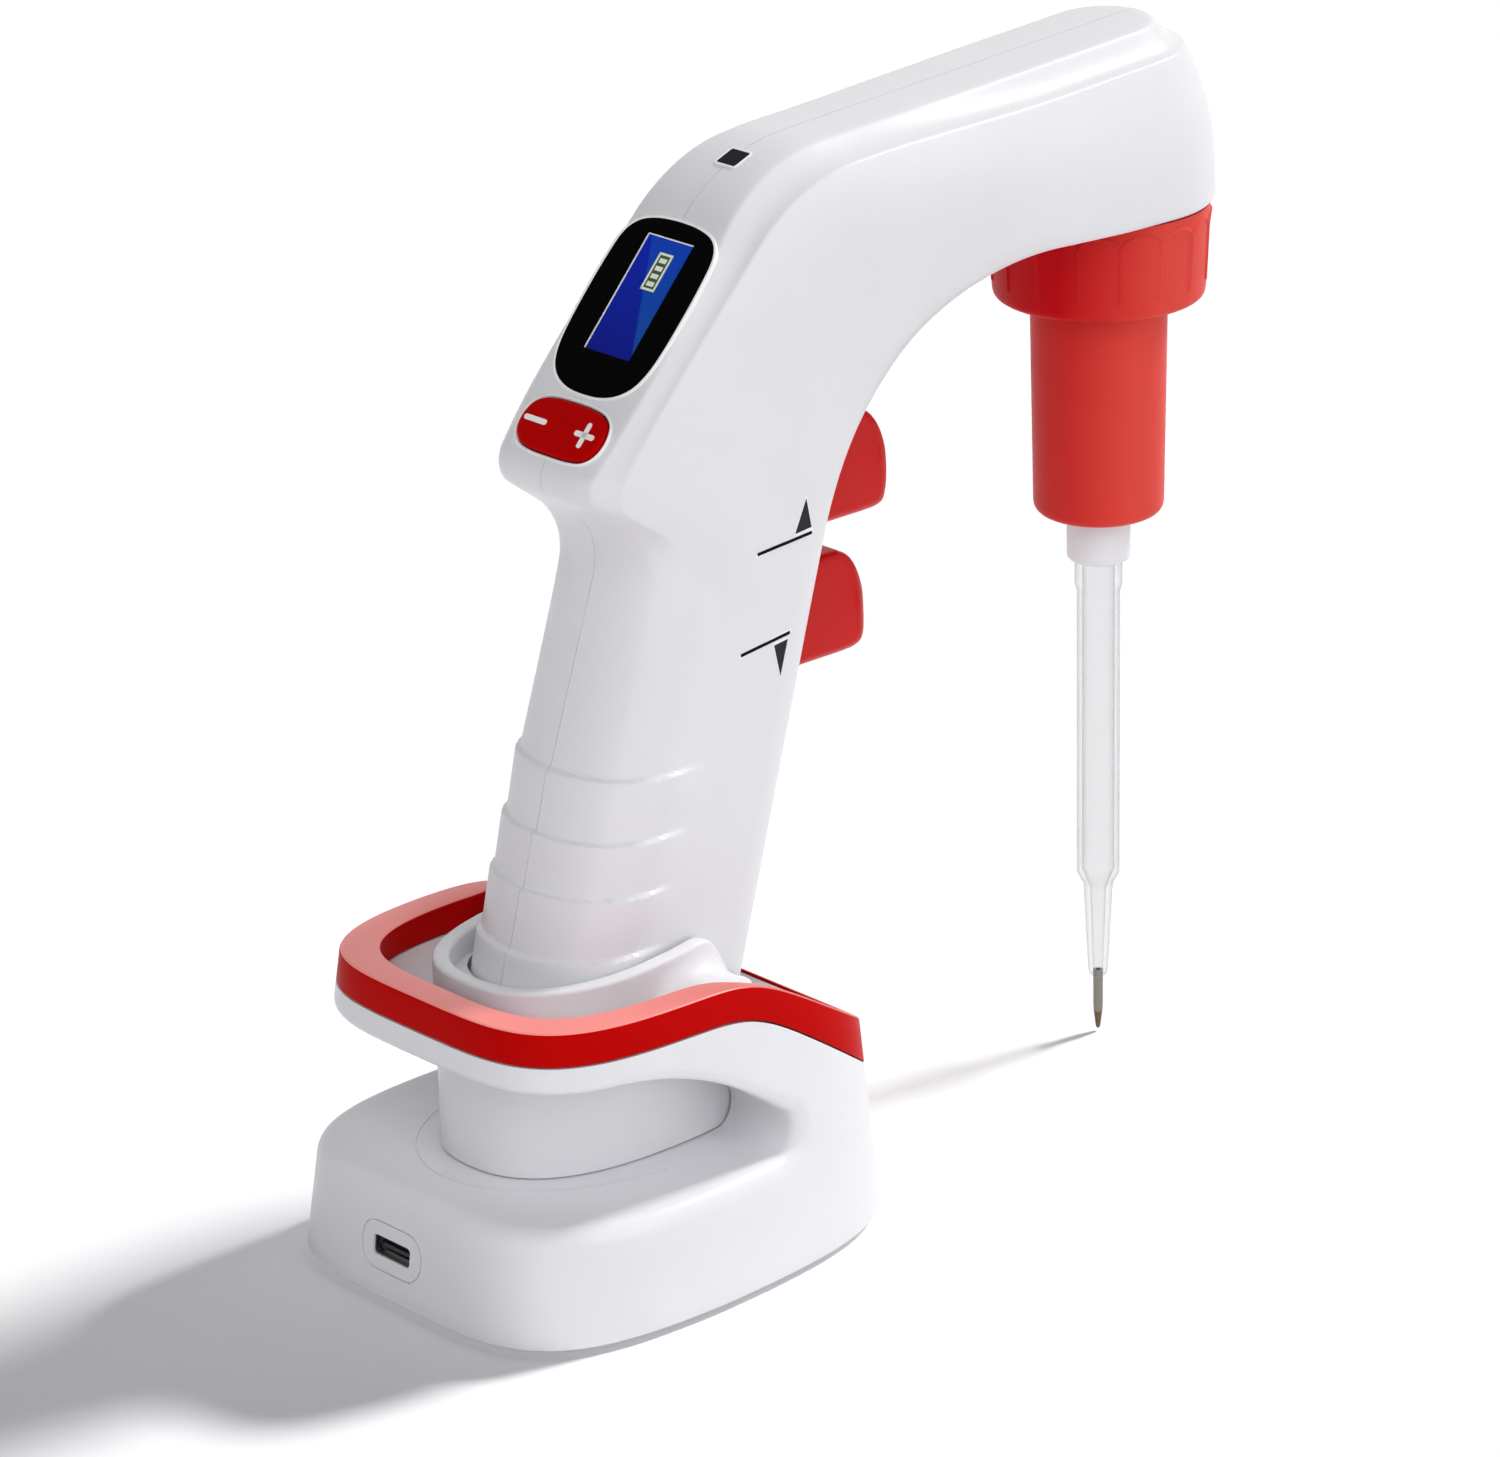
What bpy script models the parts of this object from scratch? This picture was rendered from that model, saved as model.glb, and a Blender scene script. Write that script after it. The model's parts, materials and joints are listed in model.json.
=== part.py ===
"""Cordless pipette controller resting in its charging stand.

Metres, +Z up. The origin is the middle of the stand's footprint on the table.
+X points from the stand towards the pipette and +Y to the user's left.
"""
import math

import bmesh
import bpy
from mathutils import Matrix, Vector

mm = 0.001

# Clearances
SEAT_GAP = 0.3 * mm            # between faces that rest on each other
SLIDE_GAP = 0.45 * mm          # around a trigger or rocker in its window
HALF_GAP = 0.15 * mm           # from the middle plane to each housing half

# Handset, side view: it stands on the grip's end, and the rest is placed from there
GRIP_END_X = 19.79 * mm        # front edge of the shells' lower end
GRIP_END_HEIGHT = 34.43 * mm
GRIP_FRONT_TILT = math.radians(15.3)
GRIP_REAR_TILT = math.radians(18.6)
GRIP_LENGTH = 92.6 * mm        # from the crook's end to the end of the shells
CROOK_RADIUS = 54.0 * mm       # fillet between barrel and grip
CROOK_TURN = math.pi / 2 - GRIP_FRONT_TILT
CROOK_REACH = CROOK_RADIUS * math.tan(CROOK_TURN / 2)
GRIP_RUN = GRIP_LENGTH + CROOK_REACH
GRIP_FRONT_X = GRIP_END_X + GRIP_RUN * math.sin(GRIP_FRONT_TILT)
BARREL_FLOOR = GRIP_END_HEIGHT + GRIP_RUN * math.cos(GRIP_FRONT_TILT)
NOZZLE_REACH = 68.6 * mm       # ahead of where the grip's front line meets the barrel floor
NOZZLE_X = GRIP_FRONT_X + NOZZLE_REACH
BARREL_DEPTH = 32.85 * mm      # from the crest above the nozzle to the floor
CREST_HEIGHT = BARREL_FLOOR + BARREL_DEPTH
BROW_SET_BACK = 22.4 * mm      # corner where the crest meets the display slope
BROW_FALL = 5.55 * mm
BROW_RADIUS = 34.0 * mm
BROW_X = GRIP_FRONT_X - BROW_SET_BACK
BROW_HEIGHT = CREST_HEIGHT - BROW_FALL
TAIL_SET_BACK = 66.8 * mm      # corner under the rocker
TAIL_DROP = 22.0 * mm
TAIL_RADIUS = 4.5 * mm
TAIL_X = GRIP_FRONT_X - TAIL_SET_BACK
TAIL_HEIGHT = BARREL_FLOOR - TAIL_DROP
NECK_SET_BACK = 51.1 * mm      # corner where the hand web rests
NECK_DROP = 33.8 * mm
NECK_RADIUS = 11.0 * mm
NECK_X = GRIP_FRONT_X - NECK_SET_BACK
NECK_HEIGHT = BARREL_FLOOR - NECK_DROP
WALL = 2.2 * mm

# Handset, cross sections
BAND_HALF_WIDTH = 9.7 * mm     # raised band along the barrel
FACE_HALF_WIDTH = 13.0 * mm    # the band where it carries the display
COVE_REACH = 15.2 * mm         # outer edge of the cove beside the band
COVE_DEPTH = 4.8 * mm
NOSE_RADIUS = 20.9 * mm
HEAD_HALF_WIDTH = 17.4 * mm
GRIP_HALF_WIDTH = 16.3 * mm
GRIP_REAR_CORNER = 13.5 * mm
GRIP_FRONT_CORNER = 8.0 * mm

# Display, rocker and indicator, measured along the slope from the brow corner
WINDOW_CENTRE = 31.4 * mm
WINDOW_LENGTH = 32.8 * mm
WINDOW_WIDTH = 24.0 * mm
WINDOW_CORNER = 5.0 * mm
WINDOW_THICKNESS = 1.2 * mm
LEDGE = 1.6 * mm
SCREEN_CENTRE = 28.8 * mm
SCREEN_LENGTH = 26.0 * mm
SCREEN_WIDTH = 15.0 * mm
SCREEN_THICKNESS = 2.6 * mm
BOARD_THICKNESS = 1.6 * mm
DISPLAY_BOARD_END = 57.5 * mm
ROCKER_CENTRE = 55.2 * mm
ROCKER_LENGTH = 9.8 * mm
ROCKER_WIDTH = 20.6 * mm
ROCKER_THICKNESS = 3.2 * mm
ROCKER_PROUD = 0.7 * mm
ROCKER_POCKET = 3.4 * mm
ROCKER_CORNER = 3.6 * mm
SWITCH_SIZE = 4.0 * mm
SWITCH_SPREAD = 7.0 * mm
INDICATOR_X = 35.5 * mm
INDICATOR_LENGTH = 5.2 * mm
INDICATOR_WIDTH = 5.5 * mm
INDICATOR_THICKNESS = 1.6 * mm

# Triggers
UPPER_TRIGGER_DROP = 31.9 * mm     # below the barrel's floor
TRIGGER_PITCH = 25.0 * mm
UPPER_TRIGGER_PROUD = 16.83 * mm   # ahead of the grip's front line
LOWER_TRIGGER_PROUD = 18.07 * mm
UPPER_TRIGGER_HEIGHT = BARREL_FLOOR - UPPER_TRIGGER_DROP
LOWER_TRIGGER_HEIGHT = UPPER_TRIGGER_HEIGHT - TRIGGER_PITCH
TRIGGER_TALL = 18.0 * mm
TRIGGER_HALF_WIDTH = 7.6 * mm
TRIGGER_CORNER = 3.6 * mm
TRIGGER_TRAVEL = 4.0 * mm
TRIGGER_WINDOW_REAR = 9.0 * mm     # how far the window's cut goes behind the grip's face
TRIGGER_WINDOW_FRONT = 15.0 * mm
FLANGE_LIP = 1.2 * mm
FLANGE_CLEARANCE = 1.2 * mm    # behind the housing's wall
FLANGE_THICKNESS = 2.0 * mm
STEM_RADIUS = 1.3 * mm
SPRING_LENGTH = 7.0 * mm
SPRING_RADIUS = 3.2 * mm
SPRING_WIRE = 0.35 * mm
SPRING_TURNS = 4
VALVE_DEPTH = 11.0 * mm
VALVE_HALF_WIDTH = 13.8 * mm

# Nosepiece, on the nozzle axis
COLLAR_HEIGHT = 17.7 * mm
COLLAR_TOP_RADIUS = 20.3 * mm
COLLAR_BOTTOM_RADIUS = 19.3 * mm
COLLAR_LIP = 4.5 * mm
COLLAR_RIB_COUNT = 16
COLLAR_RIB_RELIEF = 0.6 * mm
SPIGOT_RADIUS = 13.9 * mm
SPIGOT_BORE = 8.0 * mm
SPIGOT_FLANGE_RADIUS = 17.5 * mm
SPIGOT_FLANGE = 3.0 * mm
SPIGOT_DROP = 9.2 * mm         # from the barrel floor to the spigot's end
SEAL_THICKNESS = 1.8 * mm
CONE_TOP_RADIUS = 12.6 * mm
CONE_BOTTOM_RADIUS = 11.95 * mm
CONE_FLANGE = 1.3 * mm
CONE_BORE = 8.0 * mm
CONE_END = 104.0 * mm          # height of the cone's lower end
CONE_MOUTH = 2.2 * mm
HOLDER_NECK_RADIUS = 5.85 * mm
HOLDER_NECK_END = 94.6 * mm
HOLDER_TOP = 127.0 * mm
FILTER_THICKNESS = 6.0 * mm
FILTER_PORT_RADIUS = 3.0 * mm
FILTER_PORT = 5.5 * mm

# Pipette
TUBE_RADIUS = 4.0 * mm
TUBE_WALL = 0.8 * mm
TUBE_MOUTH = 118.0 * mm
TUBE_NECK_RADIUS = 4.4 * mm
TUBE_NECK = 5.3 * mm
TUBE_SHOULDER = 31.0 * mm
TAPER_TOP_RADIUS = 2.7 * mm
TAPER_END_RADIUS = 1.7 * mm
TAPER_END = 12.5 * mm
TIP_RADIUS = 1.15 * mm
TIP_POINT_RADIUS = 0.35 * mm
TIP_HEIGHT = 0.7 * mm          # the point hangs this far above the table
TIP_BORE = 0.5 * mm

# Air system and electronics in the handset
PUMP_SET_BACK = 23.7 * mm      # behind the nozzle's axis
PUMP_HEADROOM = 10.65 * mm     # left between the pump and the crest
PUMP_LENGTH = 16.0 * mm
PUMP_HALF_WIDTH = 13.0 * mm
PUMP_HEIGHT = BARREL_DEPTH - WALL - PUMP_HEADROOM
MOTOR_RADIUS = PUMP_HEIGHT / 2 - 0.5 * mm
MOTOR_LENGTH = 22.0 * mm
HOSE_RADIUS = 2.0 * mm
HOSE_BEND = 8.0 * mm           # room in which a hose turns
HOSE_PORT = 3.0 * mm           # length of a hose's port
CELL_RADIUS = 9.0 * mm
CELL_HEADROOM = 43.6 * mm      # left in the grip above the cell
CELL_LENGTH = GRIP_LENGTH - CELL_HEADROOM
CELL_DEPTH = 23.8 * mm         # from the grip's front face to the cell's axis
CRADLE_HALF_WIDTH = 13.3 * mm
CRADLE_DEPTH = 20.6 * mm
MAIN_BOARD_LENGTH = 60.0 * mm
MAIN_BOARD_HALF_WIDTH = 8.0 * mm
CAP_THICKNESS = 3.0 * mm
CONTACT_RADIUS = 2.2 * mm
CONTACT_SPREAD = 6.0 * mm
CONTACT_THICKNESS = 1.0 * mm
BOSS_RADIUS = 3.2 * mm
SCREW_RADIUS = 1.2 * mm
SCREW_HEAD_RADIUS = 2.3 * mm
SCREW_HEAD = 1.6 * mm
SCREW_HEAD_SEAT = 12.0 * mm
SCREW_END = 9.0 * mm
OUTSIDE = 8.0 * mm             # how far a cut runs clear of the surface it opens
BORE_OUTSIDE = 5.0 * mm        # the same for bores
BORE_INSIDE = 2.0 * mm
INDICATOR_CUT = 6.0 * mm
SCREW_PLACES = (
    # name, along X, height, how far its boss reaches into the side wall
    ("nose", NOZZLE_X - 14.2 * mm, CREST_HEIGHT - 9.85 * mm, 16.8 * mm),
    ("head", GRIP_FRONT_X - 9.1 * mm, BARREL_FLOOR + 6.5 * mm, 17.2 * mm),
    ("neck", NECK_X + 9.0 * mm, NECK_HEIGHT - 7.7 * mm, 16.0 * mm),
    ("grip", GRIP_END_X + 1.8 * mm, GRIP_END_HEIGHT + 30.57 * mm, 15.4 * mm),
)

# Stand
STAND_MIDDLE_X = 4.4 * mm
STAND_REAR = 52.6 * mm         # from the middle to the rear at the foot
STAND_FRONT = 42.5 * mm
STAND_HALF_WIDTH = 40.2 * mm
REAR_DRAFT = 0.135             # inward lean, run over rise
SIDE_DRAFT = 0.1
FRONT_DRAFT = 0.075
STAND_SQUARENESS = 4.0
STAND_WIDEST_X = -12.5 * mm
FRONT_NARROWING = 7.8 * mm
SLAB_TOP = 22.0 * mm
SHELL_FOOT = 1.2 * mm
STAND_WALL = 2.8 * mm
CAVITY_TOP = 18.6 * mm
RIM_TOP = 56.7 * mm            # flat rear of the trim's top edge
RIM_BAND = 5.8 * mm            # height of the trim there
RIM_BREAK_X = 6.2 * mm         # where the trim starts to fall
RIM_FALL = 0.62
BAND_BREAK_X = 5.6 * mm
BAND_FALL = 0.68
RIM_SOFTNESS = 4.0 * mm
TRIM_WIDTH = 6.0 * mm
TRIM_FRONT_WIDTH = 2.0 * mm
TRIM_NARROW_X = 2.0 * mm
TRIM_NARROW_RUN = 2.5 * mm
ARM_THICKNESS = 5.4 * mm
GAP_FRONT_X = 14.6 * mm
GAP_ROUNDING = 4.5 * mm
GAP_TOP_RISE = 14.0 * mm
GAP_SWEEP = 24.0 * mm
CUP_CENTRE_X = -1.0 * mm
CUP_LENGTH = 59.5 * mm
CUP_WIDTH = 40.6 * mm
CUP_DRAFT = 0.03
CUP_SQUARENESS = 2.5
CUP_WALL = 2.9 * mm
CUP_RIM_REAR = 57.0 * mm
CUP_PEAK_X = 9.6 * mm
CUP_PEAK = 59.4 * mm
CUP_FALL = 12.6 * mm           # from the peak down to the saddle
CUP_FALL_RUN = 9.6 * mm
SADDLE_DROP = 0.8 * mm
SADDLE_START_X = -1.0 * mm
SEAT_CLEARANCE = 0.7 * mm      # around the grip in its seat
USB_HEIGHT = 10.5 * mm
USB_SIDE = 2.0 * mm            # to the left of the middle
USB_WIDTH = 9.0 * mm
USB_THICKNESS = 3.2 * mm
USB_DEPTH = 7.3 * mm
USB_WALL = 0.35 * mm
PLATE_THICKNESS = 2.3 * mm
PAD_THICKNESS = 1.6 * mm
PAD_INSET = 3.6 * mm
POST_HEIGHT = 2.2 * mm
POST_RADIUS = 2.0 * mm
STAND_BOARD_LENGTH = 36.0 * mm
STAND_BOARD_HALF_WIDTH = 15.0 * mm
BALLAST_REAR_X = -2.0 * mm
BALLAST_LENGTH = 34.0 * mm
BALLAST_HALF_WIDTH = 18.5 * mm
BALLAST_THICKNESS = 11.0 * mm
BASE_SCREW_X = 33.0 * mm
BASE_SCREW_INSET = 14.2 * mm   # from the stand's side to its screws
BASE_SCREW_Y = STAND_HALF_WIDTH - BASE_SCREW_INSET
BASE_BOSS_RADIUS = 3.4 * mm
STUD_RADIUS = 1.4 * mm
STUD_LENGTH = 9.0 * mm
WIRE_WELL_RADIUS = 9.0 * mm

SIDES = (("right", -1), ("left", 1))
UP = Vector((0, 0, 1))
FORWARD = Vector((1, 0, 0))
LEFT = Vector((0, 1, 0))

for leftover in list(bpy.data.objects):
    bpy.data.objects.remove(leftover, do_unlink=True)


def new_collection(name):
    collection = bpy.data.collections.new(name)
    bpy.context.scene.collection.children.link(collection)
    return collection


PARTS = new_collection("pipette_controller")
CUTTERS = new_collection("cutters")


# Materials
def material(name, colour, roughness, metallic=0.0, alpha=1.0):
    made = bpy.data.materials.new(name)
    made.use_nodes = True
    shader = made.node_tree.nodes["Principled BSDF"]
    shader.inputs["Base Color"].default_value = (*colour, 1.0)
    shader.inputs["Roughness"].default_value = roughness
    shader.inputs["Metallic"].default_value = metallic
    shader.inputs["Alpha"].default_value = alpha
    return made


WHITE = ((0.80, 0.80, 0.83), 0.32)
RED = ((0.58, 0.02, 0.02), 0.36)
CORAL = ((0.66, 0.05, 0.04), 0.45)
BLACK = ((0.01, 0.01, 0.012), 0.12)
GREEN = ((0.02, 0.14, 0.06), 0.5)
STEEL = ((0.55, 0.55, 0.57), 0.3, 1.0)
BRASS = ((0.75, 0.55, 0.25), 0.3, 1.0)
RUBBER = ((0.05, 0.045, 0.045), 0.8)
SILICONE = ((0.85, 0.86, 0.88), 0.5)
CLEAR = ((0.85, 0.90, 0.93), 0.1, 0.0, 0.4)
BLUE = ((0.01, 0.02, 0.30), 0.3)
GREY = ((0.30, 0.30, 0.32), 0.5)
CELL_BLUE = ((0.05, 0.18, 0.42), 0.4)


# Building blocks
def keep(name, mesh, finish, collection=PARTS, origin=(0, 0, 0)):
    """Put a mesh in the scene as a named sub-part, or as a cutter."""
    mesh.transform(Matrix.Translation(-Vector(origin)))
    made = bpy.data.objects.new(name, mesh)
    made.location = origin
    mesh.name = name
    collection.objects.link(made)
    if collection is CUTTERS:
        made.display_type = "WIRE"
        made.hide_render = True
    else:
        mesh.materials.append(material(name, *finish))
    return made


def mesh_of(shape):
    """Turn a bmesh into a mesh with outward faces and sharp edges kept."""
    bmesh.ops.remove_doubles(shape, verts=shape.verts, dist=1e-7)
    bmesh.ops.recalc_face_normals(shape, faces=shape.faces)
    mesh = bpy.data.meshes.new("mesh")
    shape.to_mesh(mesh)
    shape.free()
    mesh.shade_smooth()
    mesh.set_sharp_from_angle(angle=math.radians(32))
    return mesh


def frame_matrix(origin, x_axis, y_axis):
    x_axis = Vector(x_axis).normalized()
    y_axis = Vector(y_axis).normalized()
    z_axis = x_axis.cross(y_axis)
    turned_axes = Matrix((x_axis, y_axis, z_axis)).transposed().to_4x4()
    return Matrix.Translation(Vector(origin)) @ turned_axes


def block_mesh(low, high, frame=None, bevel=0.0):
    """A box between two corners, in its own frame, with rounded edges."""
    shape = bmesh.new()
    bmesh.ops.create_cube(shape, size=1.0)
    low = Vector(low)
    high = Vector(high)
    size = high - low
    middle = (low + high) / 2
    bmesh.ops.scale(shape, vec=size, verts=shape.verts)
    if bevel:
        bmesh.ops.bevel(shape, geom=list(shape.edges), offset=bevel, segments=2,
                        profile=0.5, affect="EDGES", clamp_overlap=True)
    bmesh.ops.translate(shape, vec=middle, verts=shape.verts)
    if frame is not None:
        bmesh.ops.transform(shape, matrix=frame, verts=shape.verts)
    return mesh_of(shape)


def rod_mesh(start, end, radius, segments=24, end_radius=None):
    """A round bar, or a cone, between two points."""
    start = Vector(start)
    end = Vector(end)
    shape = bmesh.new()
    bmesh.ops.create_cone(shape, cap_ends=True, segments=segments, radius1=radius,
                          radius2=radius if end_radius is None else end_radius,
                          depth=(end - start).length)
    turn = (end - start).to_track_quat("Z", "Y").to_matrix().to_4x4()
    bmesh.ops.transform(shape, matrix=Matrix.Translation((start + end) / 2) @ turn,
                        verts=shape.verts)
    return mesh_of(shape)


def joined_mesh(meshes):
    """Several separate solids in one mesh."""
    shape = bmesh.new()
    for mesh in meshes:
        shape.from_mesh(mesh)
    made = bpy.data.meshes.new("group")
    shape.to_mesh(made)
    shape.free()
    made.shade_smooth()
    made.set_sharp_from_angle(angle=math.radians(32))
    return made


def prism_mesh(outline, low, high, frame):
    """A flat outline given thickness along its frame's third axis."""
    shape = bmesh.new()
    floor = shape.faces.new([shape.verts.new((x, y, low)) for x, y in outline])
    raised = bmesh.ops.extrude_face_region(shape, geom=[floor])["geom"]
    roof = [item for item in raised if isinstance(item, bmesh.types.BMVert)]
    bmesh.ops.translate(shape, vec=(0, 0, high - low), verts=roof)
    bmesh.ops.transform(shape, matrix=frame, verts=shape.verts)
    return mesh_of(shape)


def side_prism(outline, half_width):
    """An outline in the X and Z plane, made thick along Y."""
    frame = frame_matrix((0, 0, 0), FORWARD, UP)
    return prism_mesh(outline, -half_width, half_width, frame)


def loft_mesh(rings):
    """A closed solid through rings of equally many points, capped at both ends."""
    shape = bmesh.new()
    rows = [[shape.verts.new(point) for point in ring] for ring in rings]
    count = len(rows[0])
    for lower, upper in zip(rows, rows[1:]):
        for index in range(count):
            follow = (index + 1) % count
            shape.faces.new((lower[index], lower[follow], upper[follow], upper[index]))
    shape.faces.new(rows[0])
    shape.faces.new(rows[-1])
    return mesh_of(shape)


def turned(name, profile, finish, place=(NOZZLE_X, 0, 0), steps=32, collection=PARTS):
    """A turned shape: its profile runs down the outside and back up any bore."""
    mesh = bpy.data.meshes.new(name)
    points = [(radius, 0.0, height) for radius, height in profile]
    count = len(points)
    on_axis = profile[0][0] == 0.0
    edges = [(index, index + 1) for index in range(count - 1)]
    if not on_axis:
        edges.append((count - 1, 0))
    mesh.from_pydata(points, edges, [])
    made = keep(name, mesh, finish, collection)
    made.location = place
    screw = made.modifiers.new("turn", "SCREW")
    screw.axis = "Z"
    screw.steps = steps
    screw.render_steps = steps
    screw.use_merge_vertices = True
    screw.merge_threshold = 0.00001
    screw.use_smooth_shade = True
    return made


def cut(target, cutter, operation="DIFFERENCE"):
    modifier = target.modifiers.new(cutter.name, "BOOLEAN")
    modifier.operation = operation
    modifier.object = cutter
    modifier.solver = "EXACT"
    return modifier


def cutter(name, mesh):
    return keep(name, mesh, None, CUTTERS)


def rounded_path(corners, step=math.radians(5)):
    """Points along a path whose corners carry fillets: (x, z, radius) each."""
    path = [Vector(corners[0][:2])]
    for before, corner, after in zip(corners, corners[1:], corners[2:]):
        point = Vector(corner[:2])
        arriving = (point - Vector(before[:2])).normalized()
        leaving = (Vector(after[:2]) - point).normalized()
        turn = arriving.angle_signed(leaving)
        reach = corner[2] * math.tan(abs(turn) / 2)
        start = point - arriving * reach
        side = Vector((-arriving.y, arriving.x)) * (-1 if turn > 0 else 1)
        centre = start + side * corner[2]
        count = max(2, round(abs(turn) / step))
        for index in range(count + 1):
            angle = -turn * index / count
            spoke = start - centre
            turned_spoke = Vector((
                spoke.x * math.cos(angle) - spoke.y * math.sin(angle),
                spoke.x * math.sin(angle) + spoke.y * math.cos(angle)))
            path.append(centre + turned_spoke)
    path.append(Vector(corners[-1][:2]))
    return path


def rounded_rectangle(length, width, radius, steps=5):
    """Outline of a rectangle with round corners, centred on its frame."""
    outline = []
    for quarter, (sx, sy) in enumerate(((1, 1), (-1, 1), (-1, -1), (1, -1))):
        for index in range(steps + 1):
            angle = math.pi / 2 * (quarter + index / steps)
            outline.append((sx * (length / 2 - radius) + radius * math.cos(angle),
                            sy * (width / 2 - radius) + radius * math.sin(angle)))
    return outline


def crossing(path, origin, direction):
    """Where a ray first meets a path, both in the side view."""
    nearest = None
    for start, end in zip(path, path[1:]):
        run = end - start
        area = direction.x * run.y - direction.y * run.x
        if abs(area) < 1e-12:
            continue
        offset = start - origin
        along = (offset.x * run.y - offset.y * run.x) / area
        share = (offset.x * direction.y - offset.y * direction.x) / area
        if along > 0 and -1e-9 <= share <= 1 + 1e-9 and (nearest is None or along < nearest):
            nearest = along
    return origin + direction * nearest


# Side view of the handset
GRIP_DOWN = Vector((-math.sin(GRIP_FRONT_TILT), -math.cos(GRIP_FRONT_TILT)))
GRIP_BACK = Vector((-math.cos(GRIP_FRONT_TILT), math.sin(GRIP_FRONT_TILT)))
CROOK_CENTRE = Vector((GRIP_FRONT_X + CROOK_REACH, BARREL_FLOOR - CROOK_RADIUS))
GRIP_TOP = Vector((GRIP_FRONT_X, BARREL_FLOOR)) + GRIP_DOWN * CROOK_REACH
REAR_RUN = GRIP_LENGTH * 1.6
HEEL = Vector((NECK_X - REAR_RUN * math.sin(GRIP_REAR_TILT),
               NECK_HEIGHT - REAR_RUN * math.cos(GRIP_REAR_TILT)))
CREST_PATH = rounded_path((
    (2 * NOZZLE_X - BROW_X, 2 * CREST_HEIGHT - BROW_HEIGHT, 0.0),
    (BROW_X, BROW_HEIGHT, BROW_RADIUS),
    (TAIL_X, TAIL_HEIGHT, TAIL_RADIUS),
    (NECK_X, NECK_HEIGHT, NECK_RADIUS),
    (HEEL.x, HEEL.y, 0.0),
))
CREST_SLOPE = (CREST_HEIGHT - BROW_HEIGHT) / (NOZZLE_X - BROW_X)
SLOPE_DOWN = Vector((TAIL_X - BROW_X, TAIL_HEIGHT - BROW_HEIGHT)).normalized()


def grip_point(distance, depth, side=0.0):
    """A point in the grip: down its front line, then back from it."""
    place = GRIP_TOP + GRIP_DOWN * distance + GRIP_BACK * depth
    return Vector((place.x, side, place.y))


def grip_frame(distance, depth):
    """First axis down the grip, second to the left, third back or forward."""
    down = Vector((GRIP_DOWN.x, 0, GRIP_DOWN.y))
    return frame_matrix(grip_point(distance, depth), down, LEFT)


def slope_frame(distance):
    """First axis down the display slope, second to the right, third outward."""
    place = Vector((BROW_X, BROW_HEIGHT)) + SLOPE_DOWN * distance
    down = Vector((SLOPE_DOWN.x, 0, SLOPE_DOWN.y))
    return frame_matrix((place.x, 0, place.y), down, -LEFT)


def front_x(height):
    """The grip's front line at a height, without the fillet."""
    return GRIP_FRONT_X - (BARREL_FLOOR - height) * math.tan(GRIP_FRONT_TILT)


# Cross sections of the handset at named places along it: 0 nozzle, 1 where the
# crook starts, 2 top of the grip, 3 end of the grip
SECTION_KEYS = (
    # place, band, reach, cove depth, half width, fullness, front corner, grip share
    (0.00, BAND_HALF_WIDTH, COVE_REACH, COVE_DEPTH, NOSE_RADIUS, 2.6, 1.0 * mm, 0.0),
    (0.45, BAND_HALF_WIDTH, COVE_REACH, COVE_DEPTH, NOSE_RADIUS, 2.7, 1.5 * mm, 0.0),
    (1.00, BAND_HALF_WIDTH, COVE_REACH, COVE_DEPTH, 20.0 * mm, 3.2, 3.0 * mm, 0.0),
    (1.20, 9.3 * mm, COVE_REACH, 4.0 * mm, 19.2 * mm, 4.2, 5.0 * mm, 0.0),
    (1.35, 8.8 * mm, 15.3 * mm, 3.4 * mm, 18.5 * mm, 5.2, 6.5 * mm, 0.0),
    (1.50, 9.4 * mm, 15.6 * mm, 4.0 * mm, 18.0 * mm, 7.0, GRIP_FRONT_CORNER, 0.0),
    (1.60, 10.6 * mm, 15.8 * mm, 4.0 * mm, 17.8 * mm, 8.0, GRIP_FRONT_CORNER, 0.0),
    (1.75, FACE_HALF_WIDTH, 16.0 * mm, 3.0 * mm, HEAD_HALF_WIDTH, 9.0,
     GRIP_FRONT_CORNER, 0.0),
    (1.90, FACE_HALF_WIDTH, 16.0 * mm, 2.8 * mm, HEAD_HALF_WIDTH, 9.0,
     GRIP_FRONT_CORNER, 0.0),
    (2.00, 11.4 * mm, 15.4 * mm, 2.6 * mm, 17.2 * mm, 9.0, GRIP_FRONT_CORNER, 0.2),
    (2.06, 11.0 * mm, 14.8 * mm, 2.4 * mm, 17.1 * mm, 9.0, GRIP_FRONT_CORNER, 0.5),
    (2.14, 11.0 * mm, 14.6 * mm, 2.4 * mm, 17.0 * mm, 8.0, GRIP_FRONT_CORNER, 0.9),
    (2.24, 11.0 * mm, 14.6 * mm, 2.4 * mm, 16.9 * mm, 8.0, GRIP_FRONT_CORNER, 1.0),
    (3.00, 10.6 * mm, 14.0 * mm, 2.4 * mm, GRIP_HALF_WIDTH, 8.0, GRIP_FRONT_CORNER, 1.0),
)
EDGE_DROP = 0.55 * mm
CROWN_STEPS = 2
COVE_STEPS = 2
SIDE_STEPS = 5
CORNER_STEPS = 3
FLOOR_STEPS = 2


def section_values(place):
    """The section's measures at a place, eased between the named ones."""
    for before, after in zip(SECTION_KEYS, SECTION_KEYS[1:]):
        if place <= after[0]:
            share = (place - before[0]) / (after[0] - before[0])
            share = max(0.0, min(1.0, share))
            return [a + (b - a) * share for a, b in zip(before[1:], after[1:])]
    return list(SECTION_KEYS[-1][1:])


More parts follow.
